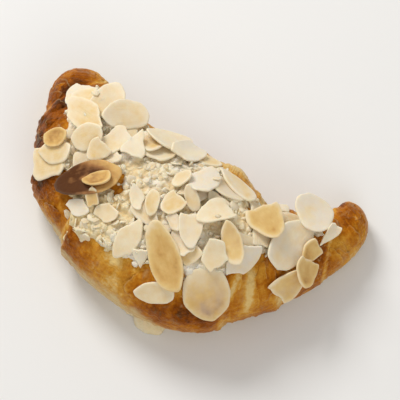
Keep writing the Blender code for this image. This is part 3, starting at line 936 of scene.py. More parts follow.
# Angle and millimetres outside the arc, heading, length, width, outline, toast, dust (on some
# slices painted grey shade), curl in mm, and for two of them how much browner one end is (for the
# brown slice partly painted shade).
LAID_SLICES = (
    (-55, -2, 20, 17, 12, "chipped", 0.22, 0.3, 0.5),
    (-50.5, -7, 75, 20, 12, "whole", 0.21, 0.3, 0.8),
    (-43.5, -13, 40, 20, 13, "round", 0.17, 0.3, 0.6),
    (-24, -23, 15, 20, 13, "whole", 0.05, 0.3, 0.9),
    (-13.5, -25.5, 60, 19, 12, "torn", 0.00, 0.6, 0.3),
    (-47.5, 1.5, -12, 20, 13, "chipped", 0.24, 0.2, 0.9),
    (-34.5, -5.5, 60, 14, 11, "block", 0.13, 0.4, 0.5),
    (-39.5, 3.5, 47, 13, 11, "round", 0.17, 0.1, 0.5),
    (-34, 2, 66, 11, 9, "broken", 0.16, 0.0, 0.4),
    (-40, 19, 20, 19, 17, "block", 0.24, 0.1, 0.6),
    (-41, 15.5, 30, 17, 12, "chipped", 0.22, 0.1, 0.5),
    (-44, 14, 24, 11.5, 8, "round", 0.56, 0.0, 0.9),
    (-24.5, 19.5, 20, 12, 8, "torn", 0.05, 0.6, 0.4),
    (-18, 14, 45, 11, 9, "torn", 0.14, 0.1, 0.5),
    (-14, 3, -45, 11, 6, "chipped", 0.05, 0.3, 0.8),
    (-28.5, -11, -93, 15, 11, "shard", 0.06, 0.3, 0.9),
    (2.5, -16.5, 97, 17, 13, "chipped", 0.06, 0.7, 0.6),
    (-5, -13, 50, 9, 7, "round", 0.12, 0.1, 0.5),
    (17, -20.5, -15, 17, 9, "whole", 0.22, 0.6, 0.4),
    (-3, -3.5, 65, 12, 9, "broken", 0.22, 0.1, 1.4),
    (-9, 1.5, 109, 11, 6, "whole", 0.20, 0.0, 0.3),
    (22.5, 8, 77, 19, 12, "torn", 0.06, 0.7, 0.5),
    (14.5, 22.5, 130, 21.5, 20.5, "whole", 0.43, 0.3, -0.4, -0.60),
    (37, 1.5, 77, 23, 17, "round", 0.10, 0.5, 0.7),
    (48.5, -9, -23, 17, 15, "round", 0.12, 0.7, 0.7),
    (5.5, 2.5, 111, 17, 10, "broken", 0.12, 0.4, 0.4),
    (19, 4, -49, 17, 9, "whole", 0.34, 0.1, 1.0),
    (15, 10, -34, 14, 12, "torn", 0.10, 0.0, 0.6),
    (12.5, -6, 50, 18, 11, "broken", 0.06, 0.0, -1.2),
    (-9, 17, 87, 18, 10, "chipped", 0.08, 0.0, -0.6),
    (-4, 19.5, 117, 9, 7, "shard", 0.00, 0.3, 0.4),
    (2.5, 27.5, 19, 16, 10, "whole", 0.16, 0.1, 0.6),
    (1.5, 15.5, -44, 29, 14, "whole", 0.46, 0.0, 0.5),
    # the brown slice: its darker left end is partly toast and partly painted shade
    (-28.5, 12, 32, 28, 14.5, "whole", 0.88, 0.0, -2.4, -0.42),
    (-23, 14.5, -50, 10, 6, "torn", 0.34, 0.1, 0.5),
    (-26, 9.5, 30, 11.5, 7.5, "whole", 0.60, 0.0, 0.6),
    (30, -8, 142, 18, 16, "broken", 0.40, 0.0, 0.9),
    (51, 0.5, 72, 12, 6, "shard", 0.03, 0.3, 0.5),
    (44, 4, 69, 11, 9, "broken", 0.42, 0.0, 0.6),
    (34.5, 15, -118, 19, 13, "broken", 0.38, 0.2, 0.4),
    (40.5, 11.5, 105, 14, 13, "broken", 0.44, 0.0, 1.0),
)


def shows_bare(angle, distance):
    """True where no slice is scattered."""
    return any(
        ((angle - place) / along) ** 2 + ((distance / MM - outside) / across) ** 2 < 1
        for place, outside, along, across in OPEN_PLACES
    )


def scattered_slices():
    """Slices spread evenly along the bed by golden-ratio steps, and at random across it."""
    draw = np.random.default_rng(SCATTER_SEED)
    looks = np.random.default_rng(SCATTER_SEED + 1)
    for index in range(SCATTER_COUNT):
        share = (index * GOLDEN_SHARE) % 1
        angle = SCATTER_ENDS[0] + share * (SCATTER_ENDS[1] - SCATTER_ENDS[0])
        across = draw.uniform(*SCATTER_SIDES)
        distance = across * float(half_width(angle, across))
        length = draw.uniform(*SCATTER_LENGTH)
        size = (length, length * draw.uniform(*SCATTER_SLENDERNESS))
        look = [looks.uniform(*span) for span in (SCATTER_TOAST, SCATTER_DUST, SCATTER_CURL)]
        heading = draw.uniform(0, 2 * math.pi)
        if not shows_bare(angle, distance):
            outline = SCATTER_OUTLINES[index % len(SCATTER_OUTLINES)]
            yield on_plan(angle, distance), heading, size, outline, STEEPEST, look


def laid_slices():
    """The slices of the table, in metres and radians."""
    for angle, distance, heading, length, width, outline, *look in LAID_SLICES:
        place, steepest = on_plan(angle, distance * MM), PROPPED.get((angle, distance), STEEPEST)
        yield place, math.radians(heading), (length * MM, width * MM), outline, steepest, look


def rest_slices():
    """Every slice with its rest, its size, its outline and its look, lowest first."""
    for place, heading, size, outline, steepest, look in [*scattered_slices(), *laid_slices()]:
        rest = settle(*place, heading, size, steepest)
        raise_tops(rest, size)
        yield rest, size, outline, look


rested = list(rest_slices())
highest = max(rest[2] for rest, *_ in rested)
print(len(rested), "slices at rest, the highest at", in_mm(highest), "mm")

# %% [markdown]
# ## The almonds' finish
#
# A blanched almond is ivory inside. In the oven its face turns gold, then brown, while the cut rim
# stays pale. Sugar dust greys some faces, and on some slices that grey is painted shade. The
# slice's own coordinates say how near the rim a point is, and its toast and dust come from the
# list, so one material serves every slice.

# %% Almond material
TOAST_TONES = (
    (0.00, (0.83, 0.73, 0.53)),
    (0.16, (0.80, 0.65, 0.41)),
    (0.34, (0.75, 0.53, 0.22)),
    (0.56, (0.64, 0.39, 0.13)),
    (0.78, (0.36, 0.165, 0.055)),
    (1.00, (0.10, 0.034, 0.009)),
)
ALMOND_RIM = (0.90, 0.81, 0.60)
SUGAR_DUST_AND_SHADE = (0.76, 0.70, 0.61)
SEED_STEP = 7.3  # how far apart in the noise two slices read their spots


def almond_material():
    material, place = new_material("sliced_almond", Roughness=0.50, Specular_IOR_Level=0.12, **SOFT)
    face, baked = read(place, "face", "Vector"), read(place, "toast")
    along, _, rim = parts(face)
    shifted = fit(place.tree, "ShaderNodeCombineXYZ", {2: read(place, "seed") * SEED_STEP})
    own_place = combine(place.tree, "ADD", face, shifted)
    spots = grain(own_place, 0.9)
    mottle = grain(place, 0.0022, 4.0, 0.6)
    fibres = grain(stretch(own_place, (0.9, 0.09, 1.0)), 1.0, 3.0)
    near_rim = rise(rim + mottle * 0.2 - 0.1, 0.62, 1.0)
    # One end browner than the other; on the brown slice this is partly painted shade.
    toast = baked * (spots * 0.9 + 0.58) * (along * read(place, "lean_and_shade") + 1.0)
    toast = toast * (near_rim * (baked - 1.0) + 1.0)
    toast = toast + grain(place, 0.0036) * 0.36 + mottle * 0.14 + fibres * 0.05 - 0.245
    # Sugar dust, which on some slices is grey painted shade.
    dusted_and_shaded = read(place, "dust_and_shade") * rise(mottle * 0.4 + spots, 0.5, 0.85)
    colour = mix(dusted_and_shaded, ramp(toast, TOAST_TONES), SUGAR_DUST_AND_SHADE)
    colour = mix(rise(rim, 0.86, 1.0) * (1 - baked) * 0.35, colour, ALMOND_RIM)
    return paint(material, colour, fibres * 0.6 + mottle, 0.00016)


ALMOND = almond_material()

# %% [markdown]
# ## One tree lays everything that is scattered
#
# Slices, shards and crumbs differ only in shape. Each kind has a small collection of shapes of unit
# size, and a cloud of points that remembers how to turn, stretch and bend each copy. Placing them
# by hand would be endless; instancing on points is what Geometry Nodes do best.

# %% The tree that lays pieces on their points
LAY = {"Material": ALMOND, "Shapes": bpy.context.scene.collection}
UNBENT = 0.4  # where along a piece its bend crosses zero, squared


def lay_tree():
    tree, given = start_tree("lay_pieces", LAY)
    inputs = {"Collection": given["Shapes"], "Separate Children": True, "Reset Children": True}
    shapes = fit(tree, "GeometryNodeCollectionInfo", inputs)
    turned = attribute_of(tree, "turned", "FLOAT_VECTOR")
    inputs = {
        "Points": given["Geometry"],
        "Instance": shapes,
        "Pick Instance": True,
        "Instance Index": attribute_of(tree, "kind", "INT"),
        "Rotation": fit(tree, "FunctionNodeEulerToRotation", {0: turned}),
        "Scale": attribute_of(tree, "size", "FLOAT_VECTOR"),
    }
    copies = realize(fit(tree, "GeometryNodeInstanceOnPoints", inputs))
    along, across, _ = parts(attribute_of(tree, "face", "FLOAT_VECTOR"))
    bow = (along * along - UNBENT) * attribute_of(tree, "curl")
    cup = (across * across - UNBENT) * attribute_of(tree, "cup")
    bend = bow + cup + along * across * attribute_of(tree, "twist")
    bent = push(copies, attribute_of(tree, "out", "FLOAT_VECTOR"), bend)
    return end_tree(bent, given["Material"])


LAY_TREE = lay_tree()


def lay(name, shapes, material, points):
    """Lays copies of shapes on points: dicts that all hold the same attributes."""
    box = bpy.data.collections.new(name)
    for number, shape in enumerate(shapes):  # the tree picks them in the order of their names
        box.objects.link(bpy.data.objects.new(f"{name}_shape_{number:02d}", shape))
    points = list(points)
    columns = {label: np.array([point[label] for point in points]) for label in points[0]}
    mesh = bpy.data.meshes.new(name)
    mesh.from_pydata(columns.pop("place").tolist(), [], [])
    for label, values in columns.items():
        set_attribute(mesh, label, values)
    laid = grow(show(name, mesh), LAY_TREE, {"Material": material, "Shapes": box})
    for shape in list(box.objects):
        bpy.data.objects.remove(shape)
    bpy.data.collections.remove(box)
    return laid


def turn_of(*axes):
    """The turn that carries X, Y and Z onto three axes."""
    return tuple(Matrix(axes).transposed().to_euler())


print("ready to lay pieces")

# %% [markdown]
# ## Sliced almonds
#
# A slice is a thin oval plate, narrower at one end, with a soft rim. Many are broken straight
# across. A few unit shapes of each kind with wavering outlines are enough, since each copy is
# stretched, curled and twisted in its own way.

# %% Slice shapes
# How much narrower one end is, then the straight edges where bits broke off: direction, reach.
OUTLINES = {
    "whole": (0.22, ()),
    "round": (0.08, ()),
    "broken": (0.16, ((0, 0.55),)),
    "chipped": (0.18, ((38, 0.70), (-158, 0.80))),
    "block": (0.0, ((4, 0.82), (94, 0.74), (186, 0.84), (-82, 0.78))),
    "torn": (0.10, ((12, 0.60), (78, 0.72), (-150, 0.70))),
    "shard": (0.62, ((0, 0.72), (125, 0.48))),
}
OUTLINE_NAMES = tuple(OUTLINES)
OUTLINE_SEED = 100
VARIANTS = 4
SLICE_SIDES = 44
OUTLINE_WAVES = ((2, 0.022), (3, 0.032), (5, 0.022), (8, 0.012), (13, 0.006))
BREAK_JAG, BREAK_WAVES, BREAK_PHASES, BREAK_GRAIN = 0.030, (4, 8), (0, 6), 0.010
BREAK_TURN = 9  # degrees by which a broken edge strays from its direction
BREAK_SHIFT = 0.05
# From the middle of the upper face over the rim to the lower face: share of outline, of thickness.
SLICE_PROFILE = (
    (0.45, 1.0), (0.75, 0.99), (0.88, 0.96), (0.945, 0.90), (0.98, 0.76),
    (1.0, 0.50), (0.995, 0.24), (0.96, 0.03), (0.8, 0.0), (0.4, 0.0),
)


def waver(turn, waves, draw):
    """A round outline's uneven reach, about 1."""
    uneven = 0
    for count, size in waves:
        uneven = uneven + size * np.sin(count * turn + draw.uniform(0, 2 * math.pi))
    return 1 + uneven


def outline_of(name, draw):
    """The wavering outline of one slice, as places along it and across it from -1 to 1."""
    taper, edges = OUTLINES[name]
    turn = full_turn(SLICE_SIDES)
    reach = waver(turn, OUTLINE_WAVES, draw)
    along = np.cos(turn) * reach
    across = np.sin(turn) * reach * (1 + taper * np.cos(turn)) / (1 + taper / 2)
    for direction, edge in edges:
        direction = math.radians(direction + draw.uniform(-BREAK_TURN, BREAK_TURN))
        forward, aside = math.cos(direction), math.sin(direction)
        beside = across * forward - along * aside
        jag = BREAK_JAG * np.sin(beside * draw.uniform(*BREAK_WAVES) + draw.uniform(*BREAK_PHASES))
        jag = jag + draw.normal(0, BREAK_GRAIN, SLICE_SIDES)
        shift = draw.uniform(-BREAK_SHIFT, BREAK_SHIFT)
        past = np.maximum(along * forward + across * aside - edge - shift - jag, 0)
        along, across = along - past * forward, across - past * aside
    return along, across


def plate(name, along, across, profile, rims):
    """A thin plate of unit size that remembers how near its rim each corner is."""
    flat = np.stack((along, across, 0 * along), axis=-1)
    rings = np.array([flat * share + (0, 0, level) for share, level in profile])
    corners, faces = skin(rings, (0, 0, 1), (0, 0, 0))
    face = np.column_stack((corners[:, :2], with_poles(np.repeat(rims, len(along)))))
    return mesh_from(name, corners, faces, face=face)


def slice_shape(name, variant):
    draw = np.random.default_rng(OUTLINE_SEED * OUTLINE_NAMES.index(name) + variant)
    rims = [share for share, _ in SLICE_PROFILE]
    return plate(f"{name}_{variant}", *outline_of(name, draw), SLICE_PROFILE, rims)


slice_shapes = [slice_shape(name, variant) for name in OUTLINE_NAMES for variant in range(VARIANTS)]
print(len(slice_shapes), "shapes of slices")

# %% Lay the slices
SLICE_THICKNESS = 0.00105
SLICE_LIFT = 0.0002
CURL_GAIN = 1.5
CUP_RANGE = (-0.4, 1.0)
TWIST = 0.9
LEAN = 0.45  # how much browner one end may be than the middle
SLICE_SEED = 1000


def slice_point(index, rest, size, outline, look):
    *place, slope_x, slope_y, heading = rest
    toast, dust_and_shade, curl, *lean_and_shade = look
    draw = np.random.default_rng(SLICE_SEED + index)
    forward, aside, out = slice_axes(slope_x, slope_y, heading)
    return {
        "place": tuple(Vector(place) + out * SLICE_LIFT),
        "turned": turn_of(forward, aside, out),
        "size": (size[0] / 2, size[1] / 2, SLICE_THICKNESS),
        "kind": OUTLINE_NAMES.index(outline) * VARIANTS + index % VARIANTS,
        "out": tuple(out),
        "curl": curl * CURL_GAIN * MM,
        "cup": draw.uniform(*CUP_RANGE) * MM,
        "twist": draw.uniform(-TWIST, TWIST) * MM,
        "toast": float(toast),
        "dust_and_shade": float(dust_and_shade),
        "lean_and_shade": lean_and_shade[0] if lean_and_shade else float(draw.uniform(-LEAN, LEAN)),
        "seed": float(index),
    }


slice_points = [slice_point(index, *entry) for index, entry in enumerate(rested)]
slices = lay("almond_slices", slice_shapes, ALMOND, slice_points)

# %% [markdown]
# ## Feeling for what lies underneath
#
# Crumbs and shards lie on whatever is below them: cream, crust or another slice. A ray dropped from
# above finds the place, the slope there and what it hit. The meshes are put in one search tree,
# which answers thousands of such rays at once.

# %% Rays from above
LAYERS = {"crust": crust, "cream": cream_bed, "slice": slices}
ABOVE = 0.1


def ray_tree():
    """A search tree over the finished layers, and the number of faces up to the end of each."""
    corners, faces, ends, base = [], [], [], 0
    for piece in LAYERS.values():
        corners.extend(corner.co for corner in piece.data.vertices)
        faces.extend([base + number for number in face.vertices] for face in piece.data.polygons)
        base = len(corners)
        ends.append(len(faces))
    return BVHTree.FromPolygons(corners, faces), ends


RAYS, LAYER_ENDS = ray_tree()


def below(x, y):
    """Height, slope and layer under a place on the plan, or None beside the croissant."""
    point, normal, face, _ = RAYS.ray_cast(Vector((x, y, ABOVE)), Vector((0, 0, -1)))
    if point is None:
        return None
    layer = list(LAYERS)[sum(face >= end for end in LAYER_ENDS)]
    return point, normal if normal.z > 0 else -normal, layer


print("the tree of layers has", LAYER_ENDS[-1], "faces")

# %% [markdown]
# ## Shards and crumbs
#
# Slicing almonds leaves splinters, and baked cream breaks into crumbs. They gather in the gaps and
# at the ragged edge of the bed, and few lie on the slices. Modelling each would take days, so a few
# shapes with only a few faces are scattered by the hundred.

# %% Shapes of shards and crumbs
LOOSE_SHAPES = 6
SHARD_SEED, CRUMB_SEED = 40, 60
SHARD_REACH, CRUMB_REACH = (0.6, 1.0), (0.72, 1.12)
SHARD_PROFILE = ((0.9, 1.0), (1.0, 0.8), (0.97, 0.0))
SHARD_RIMS = (0.8, 1.0, 1.0)
SHARD_SKEW = 0.3
CRUMB_RAISE = 0.55
# Below this height a crumb's underside is painted in shade, and above it its top is painted
# lighter.
CRUMB_SHADE_HEIGHT, CRUMB_LIGHT, CRUMB_SHADE = 0.2, 0.25, 0.55  # below this height it is a hollow


def shard_shape(variant):
    """A splinter of almond: a small plate with straight broken sides."""
    draw = np.random.default_rng(SHARD_SEED + variant)
    sides = 5 + variant % 3
    turn = (np.arange(sides) + draw.uniform(-SHARD_SKEW, SHARD_SKEW, sides)) * 2 * math.pi / sides
    reach = draw.uniform(*SHARD_REACH, sides)
    along, across = np.cos(turn) * reach, np.sin(turn) * reach
    mesh = plate(f"shard_{variant}", along, across, SHARD_PROFILE, SHARD_RIMS)
    mesh.shade_flat()
    return mesh


def crumb_shape(variant):
    """A crumb of cream: a lumpy ball of 24 faces."""
    draw = np.random.default_rng(CRUMB_SEED + variant)
    work = bmesh.new()
    bmesh.ops.create_cube(work, size=2)
    bmesh.ops.subdivide_edges(work, edges=work.edges, cuts=1, use_grid_fill=True)
    work.verts.index_update()
    spots = [corner.co.normalized() * draw.uniform(*CRUMB_REACH) for corner in work.verts]
    corners = np.array(spots) + (0, 0, CRUMB_RAISE)
    faces = [[corner.index for corner in face.verts] for face in work.faces]
    work.free()
    # Painted shade on the underside, a lighter painted tone on the top.
    hollow = np.where(corners[:, 2] < CRUMB_SHADE_HEIGHT, CRUMB_SHADE, CRUMB_LIGHT)
    return mesh_from(f"crumb_{variant}", corners, faces, face=0 * corners, hollow=hollow)


shard_shapes = [shard_shape(variant) for variant in range(LOOSE_SHAPES)]
crumb_shapes = [crumb_shape(variant) for variant in range(LOOSE_SHAPES)]
print(len(shard_shapes) + len(crumb_shapes), "loose shapes")

# %% Scatter them
BED_SPREAD = 0.05  # how far past the borders of the bed they stray, as a share of the width
LOOSE_SINK = 0.25  # share of its thickness by which a loose piece sinks in
LOOSE_SEEDS = (0, 99)
STILL = dict.fromkeys(("curl", "cup", "twist", "lean_and_shade"), 0.0)
# Seed of the places, number tried, and the share that stays on each layer.
SHARD_PLACES = (21, 1000, {"cream": 0.95, "slice": 0.004, "crust": 0.03})
SHARD_SIZE, SHARD_SLENDERNESS, SHARD_THICKNESS = (0.0010, 0.0032), (0.45, 0.9), (0.0005, 0.0009)
SHARD_TOAST, SHARD_DUST, SHARD_TILT = (0, 0.22), (0, 0.7), 0.42
CRUMB_PLACES = (22, 600, {"cream": 0.8, "slice": 0.0, "crust": 0.03})
CRUMB_SIZE, CRUMB_SLENDERNESS, CRUMB_FLATNESS = (0.0005, 0.0019), (0.5, 0.95), (0.30, 0.55)
CRUMB_TILT = 0.25


def scattered_places(seed, tries, keep):
    """Random places over the bed, thinned by what is under them."""
    draw = np.random.default_rng(seed)
    for _ in range(tries):
        angle = draw.uniform(BED_ENDS[0] - BED_MARGIN, BED_ENDS[1] + BED_MARGIN)
        across = draw.uniform(*BED_SPAN)
        chance = draw.uniform()
        distance = across * float(half_width(angle, across))
        found = below(*on_plan(angle, distance))
        near_bed = bed_border(angle, across) > -BED_SPREAD
        if found is not None and near_bed and chance < keep[found[2]]:
            yield draw, (*found, warmth(angle, distance))


def loose_point(draw, found, size, toast, dust_and_shade, tilt):
    """A loose piece on what it fell on, with a little random tilt."""
    point, normal, _, warm = found
    out = (normal + Vector(draw.normal(0, tilt, 3))).normalized()
    forward = out.orthogonal().normalized()
    forward.rotate(Matrix.Rotation(draw.uniform(0, 2 * math.pi), 3, out))
    return STILL | {
        "place": tuple(point - out * size[2] * LOOSE_SINK),
        "turned": turn_of(forward, out.cross(forward), out),
        "size": size,
        "kind": int(draw.integers(LOOSE_SHAPES)),
        "out": tuple(out),
        "toast": float(toast),
        "dust_and_shade": float(dust_and_shade),
        "warm": float(warm),
        "seed": float(draw.uniform(*LOOSE_SEEDS)),
    }


def shard_points():
    for draw, found in scattered_places(*SHARD_PLACES):
        length = draw.uniform(*SHARD_SIZE)
        size = (length, length * draw.uniform(*SHARD_SLENDERNESS), draw.uniform(*SHARD_THICKNESS))
        toast, dust_and_shade = draw.uniform(*SHARD_TOAST), draw.uniform(*SHARD_DUST)
        yield loose_point(draw, found, size, toast, dust_and_shade, SHARD_TILT)


def crumb_points():
    for draw, found in scattered_places(*CRUMB_PLACES):
        length = draw.uniform(*CRUMB_SIZE)
        width = length * draw.uniform(*CRUMB_SLENDERNESS)
        size = (length, width, length * draw.uniform(*CRUMB_FLATNESS))
        yield loose_point(draw, found, size, 0, 0, CRUMB_TILT)


shards = lay("almond_shards", shard_shapes, ALMOND, shard_points())
crumbs = lay("cream_crumbs", crumb_shapes, CREAM, crumb_points())

# %% [markdown]
# ## Cream that ran out
#
# At the foot of the belly a little cream escaped in the oven and set as pale lobes that melted into
# one another. Metaballs would melt them together too, but their skin is full of slivers. Here the
# outline is a soft maximum over the lobes' ovals and the height a soft mean of theirs, on rings
# that end in a rounded rim.

# %% The leak
# Angle round the bend and distance outside the arc, then half-sizes along X, along Y and upwards.
LEAK_LOBES = np.array((
    (2.3, 30, 6.8, 5.5, 2.6),
    (-2.5, 27.2, 5.5, 4.6, 3.0),
    (-7, 26.6, 5, 4.2, 3.4),
))
LEAK_SIDES, LEAK_RINGS = 96, 30
LEAK_MELT = 5  # how sharply the lobes' outlines meet; lower is softer
LEAK_SPREAD = 0.0042
LEAK_DIP = 0.28  # how much lower the cream is between the lobes
LEAK_WAVES = ((0.04, 5, 1), (0.03, 9, 0), (0.02, 16, 2))  # size, waves round the outline, phase
LEAK_LUMP, LUMP_ALONG, LUMP_ACROSS = 0.06, 0.0011, 0.0016
# The leak's even share of painted shade, and how yellow it is.
LEAK_SHADE, LEAK_WARM = 0.45, 0.5
RIM_SHARES, RIM_HEIGHTS = (0.98, 0.9), ((0.0002,), (0.0,))  # where the skin turns in under the rim
RIM_DROP = 0.45
INNER_SHARE, OUTER_SHARE = 0.06, 0.998  # shares of the outline at the first ring and at the rim


def leak_outline(centres, halves, ray):
    """How far the cream reaches from the middle lobe each way: a soft maximum over the lobes."""
    ray = ray[None] / halves[:, None, :2]
    start = ((centres[1] - centres) / halves[:, :2])[:, None]
    square, mixed, left = (ray**2).sum(-1), (ray * start).sum(-1), (start**2).sum(-1) - 1
    root = mixed**2 - square * left
    far = np.where(root > 0, (np.sqrt(np.maximum(root, 0)) - mixed) / square, 0)
    return (far**LEAK_MELT).sum(axis=0) ** (1 / LEAK_MELT)


def leak_height(places, centres, halves):
    """The height of the melted lobes: high at their middles, lower between them."""
    near = np.exp(-((places[..., None, :] - centres) ** 2).sum(-1) / (2 * LEAK_SPREAD**2))
    height = (near * 2 * halves[:, 2]).sum(-1) / near.sum(-1)
    return height * (1 - LEAK_DIP + LEAK_DIP * near.max(axis=-1))


def leak_mesh():
    centres = np.stack(on_plan(LEAK_LOBES[:, 0], LEAK_LOBES[:, 1] * MM), axis=-1)
    halves = LEAK_LOBES[:, 2:] * MM
    turn = full_turn(LEAK_SIDES)
    ray = np.stack((np.cos(turn), np.sin(turn)), axis=-1)
    uneven = 1 + sum(size * np.sin(count * turn + phase) for size, count, phase in LEAK_WAVES)
    share = np.append(np.linspace(INNER_SHARE, 1, LEAK_RINGS), RIM_SHARES)[:, None]
    reach = share * leak_outline(centres, halves, ray) * uneven
    places = centres[1] + reach[..., None] * ray
    x, y = places[..., 0], places[..., 1]
    lumps = 1 + LEAK_LUMP * np.sin(x / LUMP_ALONG + 2 * np.sin(y / LUMP_ACROSS))
    rounded = np.sqrt(1 - np.minimum(share, OUTER_SHARE) ** 4)
    z = leak_height(places, centres, halves) * rounded * lumps
    z[-3] = z[-4] * RIM_DROP
    z[-2:] = RIM_HEIGHTS
    rings = np.concatenate((places, z[..., None]), axis=-1)
    corners, faces = skin(rings, (*centres[1], z[0].mean()), (*centres[1], 0))
    hollow, warm = (np.full(len(corners), value) for value in (LEAK_SHADE, LEAK_WARM))
    mesh = mesh_from("cream_leak", corners, faces, hollow=hollow, warm=warm)
    mesh.materials.append(CREAM)
    return mesh


leak = show("cream_leak", leak_mesh())
print("the leak has", len(leak.data.polygons), "faces")

# %% [markdown]
# ## Flakes that lift off the crust
#
# Where the crust dried most, its outermost layer comes away in thin flakes. Most of a flake still
# clings to the roll and only one edge stands up, so a flat leaf laid on top would look pasted on.
# Each flake is a patch of the roll's own surface instead, found by the angle round the bend and the
# angle up the rib, as thin as paper and lifted at its free edge. It wears the crust's own finish.

# %% Flakes
FLAKE_SEED, FLAKE_COUNT = 31, 36
FLAKE_SIDES = 36
FLAKE_RINGS = (0.25, 0.5, 0.7, 0.84, 0.93, 1.0)
FLAKE_HALF_LENGTH = (0.0028, 0.0075)  # round the rib
FLAKE_HALF_WIDTH = (0.0014, 0.0042)  # along the bend
FLAKE_LIFT, FLAKE_PAPER, FLAKE_CLING = (0.0002, 0.0011), 0.00016, 0.00045
FLAKE_UP = ((10, 62), (118, 172))  # degrees up the rib, outside and inside the bend
FLAKE_INSIDE = 0.35  # the share of flakes inside the bend
FLAKE_ENDS = (FIRST_ANGLE + 6, LAST_ANGLE - 5)
FLAKE_BROWNER = 0.12
FLAKE_WAVES = ((2, 0.14), (3, 0.12), (5, 0.08), (9, 0.04), (14, 0.025))
NEAR_WRAP, WRAP_STRAY = 0.55, 1.2  # the share that start at the end of a wrap, and degrees from it
RIB_ROUND = 0.7  # a rib's radius as a share of its height
FREE_STRAY = 0.5
RIM_START = 0.86
TUCK = 0.6  # how far a clinging edge tucks into the crust, as a share of the cling
ANGLE_STEP, TURN_STEP = 0.3, 0.01  # small steps over the surface, in degrees and in radians


def surface_and_normal(angle, turn):
    """Points of the crust and the directions out of it."""
    here = roll_points(angle, turn, paged=False)[0]
    along = roll_points(angle + ANGLE_STEP, turn, paged=False)[0] - here
    up = roll_points(angle, turn + TURN_STEP, paged=False)[0] - here
    out = np.cross(along, up)
    return here, out / np.linalg.norm(out, axis=-1, keepdims=True)


def flake_rings(draw):
    """One flake: rings over its upper side and back under it, with what the finish reads."""
    end = WRAP_ENDS[draw.integers(len(WRAP_ENDS))]
    near = draw.uniform() < NEAR_WRAP
    place = end + draw.normal(0, WRAP_STRAY) if near else draw.uniform(*FLAKE_ENDS)
    up = draw.uniform(*FLAKE_UP[int(draw.uniform() < FLAKE_INSIDE)])
    reach = BEND_RADIUS + math.cos(math.radians(up)) * float(rib_measure(OUTER, place))
    rib_radius = float(rib_measure(HEIGHT, place)) * RIB_ROUND
    half_angle = math.degrees(draw.uniform(*FLAKE_HALF_WIDTH) / reach)
    half_up = math.degrees(draw.uniform(*FLAKE_HALF_LENGTH) / rib_radius)
    around = full_turn(FLAKE_SIDES)
    ragged = waver(around, FLAKE_WAVES, draw)
    share = np.array(FLAKE_RINGS)[:, None]
    angle = place + half_angle * share * ragged * np.cos(around)
    turn = np.radians(up + half_up * share * ragged * np.sin(around))
    free = (0.0 if place > 0 else math.pi) + draw.normal(0, FREE_STRAY)  # wraps open to the tips
    open_edge = np.clip(np.cos(around - free), 0, 1)
    lift = draw.uniform(*FLAKE_LIFT) * open_edge * share**3
    cling = FLAKE_CLING * (1 - share**2) - FLAKE_CLING * TUCK * share**4 * (1 - open_edge)
    points, out = surface_and_normal(angle, turn)
    lower = points + out * (lift + cling)[..., None]
    rings = np.concatenate((lower + out * FLAKE_PAPER, lower[::-1]))
    bake = baking_and_painted_light(angle, turn) + draw.uniform(-FLAKE_BROWNER, FLAKE_BROWNER)
    rim = smooth_step((share - RIM_START) / (1 - RIM_START)) * open_edge
    flow = np.stack((np.radians(angle) * BEND_RADIUS, 0 * angle, points[..., 2]), axis=-1)
    return rings, {"bake": bake, "flaked": rim, "flow": flow}


def flakes_mesh():
    draw = np.random.default_rng(FLAKE_SEED)
    corners, faces, columns, base = [], [], {}, 0
    for _ in range(FLAKE_COUNT):
        rings, marks = flake_rings(draw)
        spots, sides = skin(rings, rings[0].mean(axis=0), rings[-1].mean(axis=0))
        corners.append(spots)
        faces.extend([base + number for number in side] for side in sides)
        base += len(spots)
        for name, values in marks.items():
            flat = np.concatenate((values, values[::-1])).reshape(-1, *values.shape[2:])
            columns.setdefault(name, []).extend((flat[:1], flat, flat[-1:]))
    attributes = {name: np.concatenate(values) for name, values in columns.items()}
    mesh = mesh_from("pastry_flakes", np.vstack(corners), faces, **attributes)
    mesh.materials.append(CRUST)
    return mesh


flakes = show("pastry_flakes", flakes_mesh())
print("the flakes have", len(flakes.data.polygons), "faces")

# %% [markdown]
# ## Floor, light and camera
#
# The picture looks down steeply, in soft light from a large window. A broad lamp above the far left
# side, a weaker one opposite and a pale sky all round give soft shadows. The camera stands on the
# line of sight of the picture and is centred on what it sees.

# %% Floor
FLOOR_SIZE = 3.0
FLOOR_FINISH = {"Roughness": 0.8, "Base_Color": (0.80, 0.79, 0.77)}


def floor_object():
    corners = np.array(((-1, -1, 0), (1, -1, 0), (1, 1, 0), (-1, 1, 0))) * FLOOR_SIZE / 2
    mesh = bpy.data.meshes.new("floor")
    mesh.from_pydata(corners.tolist(), [], [(0, 1, 2, 3)])
    mesh.materials.append(new_material("pale_floor", **FLOOR_FINISH)[0])
    return show("floor", mesh)


floor_object()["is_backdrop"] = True

# %% Light
SKY_COLOUR, SKY_STRENGTH = (1.0, 0.985, 0.96), 0.50
# Name, place, size and power of each lamp.
LAMPS = (("key", (-0.54, 0.34, 0.70), 0.40, 5.7), ("fill", (0.50, -0.50, 0.62), 0.60, 1.8))


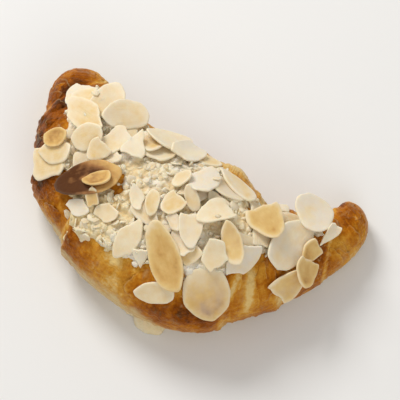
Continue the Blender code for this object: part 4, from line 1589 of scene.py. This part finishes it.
def add_lamp(name, place, size, power):
    light = bpy.data.lights.new(name, "AREA")
    light.shape, light.size, light.energy = "DISK", size, power
    lamp = show(name, light)
    lamp.location = place
    lamp.rotation_euler = (-Vector(place)).to_track_quat("-Z", "Y").to_euler()


for lamp in LAMPS:
    add_lamp(*lamp)
sky = bpy.data.worlds.new("sky")
sky.use_nodes = True
feed(sky.node_tree.nodes["Background"].inputs["Color"], SKY_COLOUR)
feed(sky.node_tree.nodes["Background"].inputs["Strength"], SKY_STRENGTH)
bpy.context.scene.world = sky
bpy.context.scene.view_settings.view_transform = "Standard"
print("lit by", [lamp[0] for lamp in LAMPS])

# %% Camera
AZIMUTH, ELEVATION = math.radians(27), math.radians(72)
FILL = 0.84  # how much of the picture's width the croissant takes
LENS, SENSOR = 600.0, 36.0
NEAREST, FURTHEST = 0.01, 10


def camera_object():
    right = Vector((math.cos(AZIMUTH), math.sin(AZIMUTH), 0))
    low = math.cos(ELEVATION)
    back = Vector((math.sin(AZIMUTH) * low, -math.cos(AZIMUTH) * low, math.sin(ELEVATION)))
    up = back.cross(right)
    spots = np.array([corner.co for corner in crust.data.vertices])
    across, along = spots @ np.array(right), spots @ np.array(up)
    middle = right * float(across.max() + across.min()) / 2
    middle = middle + up * float(along.max() + along.min()) / 2
    span = float(across.max() - across.min())
    data = bpy.data.cameras.new("camera")
    data.lens, data.sensor_width = LENS, SENSOR
    data.clip_start, data.clip_end = NEAREST, FURTHEST
    made = show("camera", data)
    made.location = middle + back * (span / FILL * LENS / SENSOR)
    made.rotation_euler = back.to_track_quat("Z", "Y").to_euler()
    print("the croissant spans", in_mm(span), "mm of the view")
    return made


bpy.context.scene.camera = camera_object()

# %% [markdown]
# ## Pieces and boxes
#
# Each piece moves with the root body, and the solid croissant is hidden. The two boxes are printed,
# so that the visible croissant can be held against the solid one.

SLOTS = {"crust": (crust, flakes), "cream": (cream_bed, crumbs, leak), "almond": (slices, shards)}
for slot_name, pieces in SLOTS.items():
    for piece in pieces:
        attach(piece, "root")
        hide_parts("croissant")

# %% Print the two boxes
boxes = [[list(corner) for corner in box] for box in (cad_box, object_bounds())]
print("boxes in mm:", in_mm(boxes))
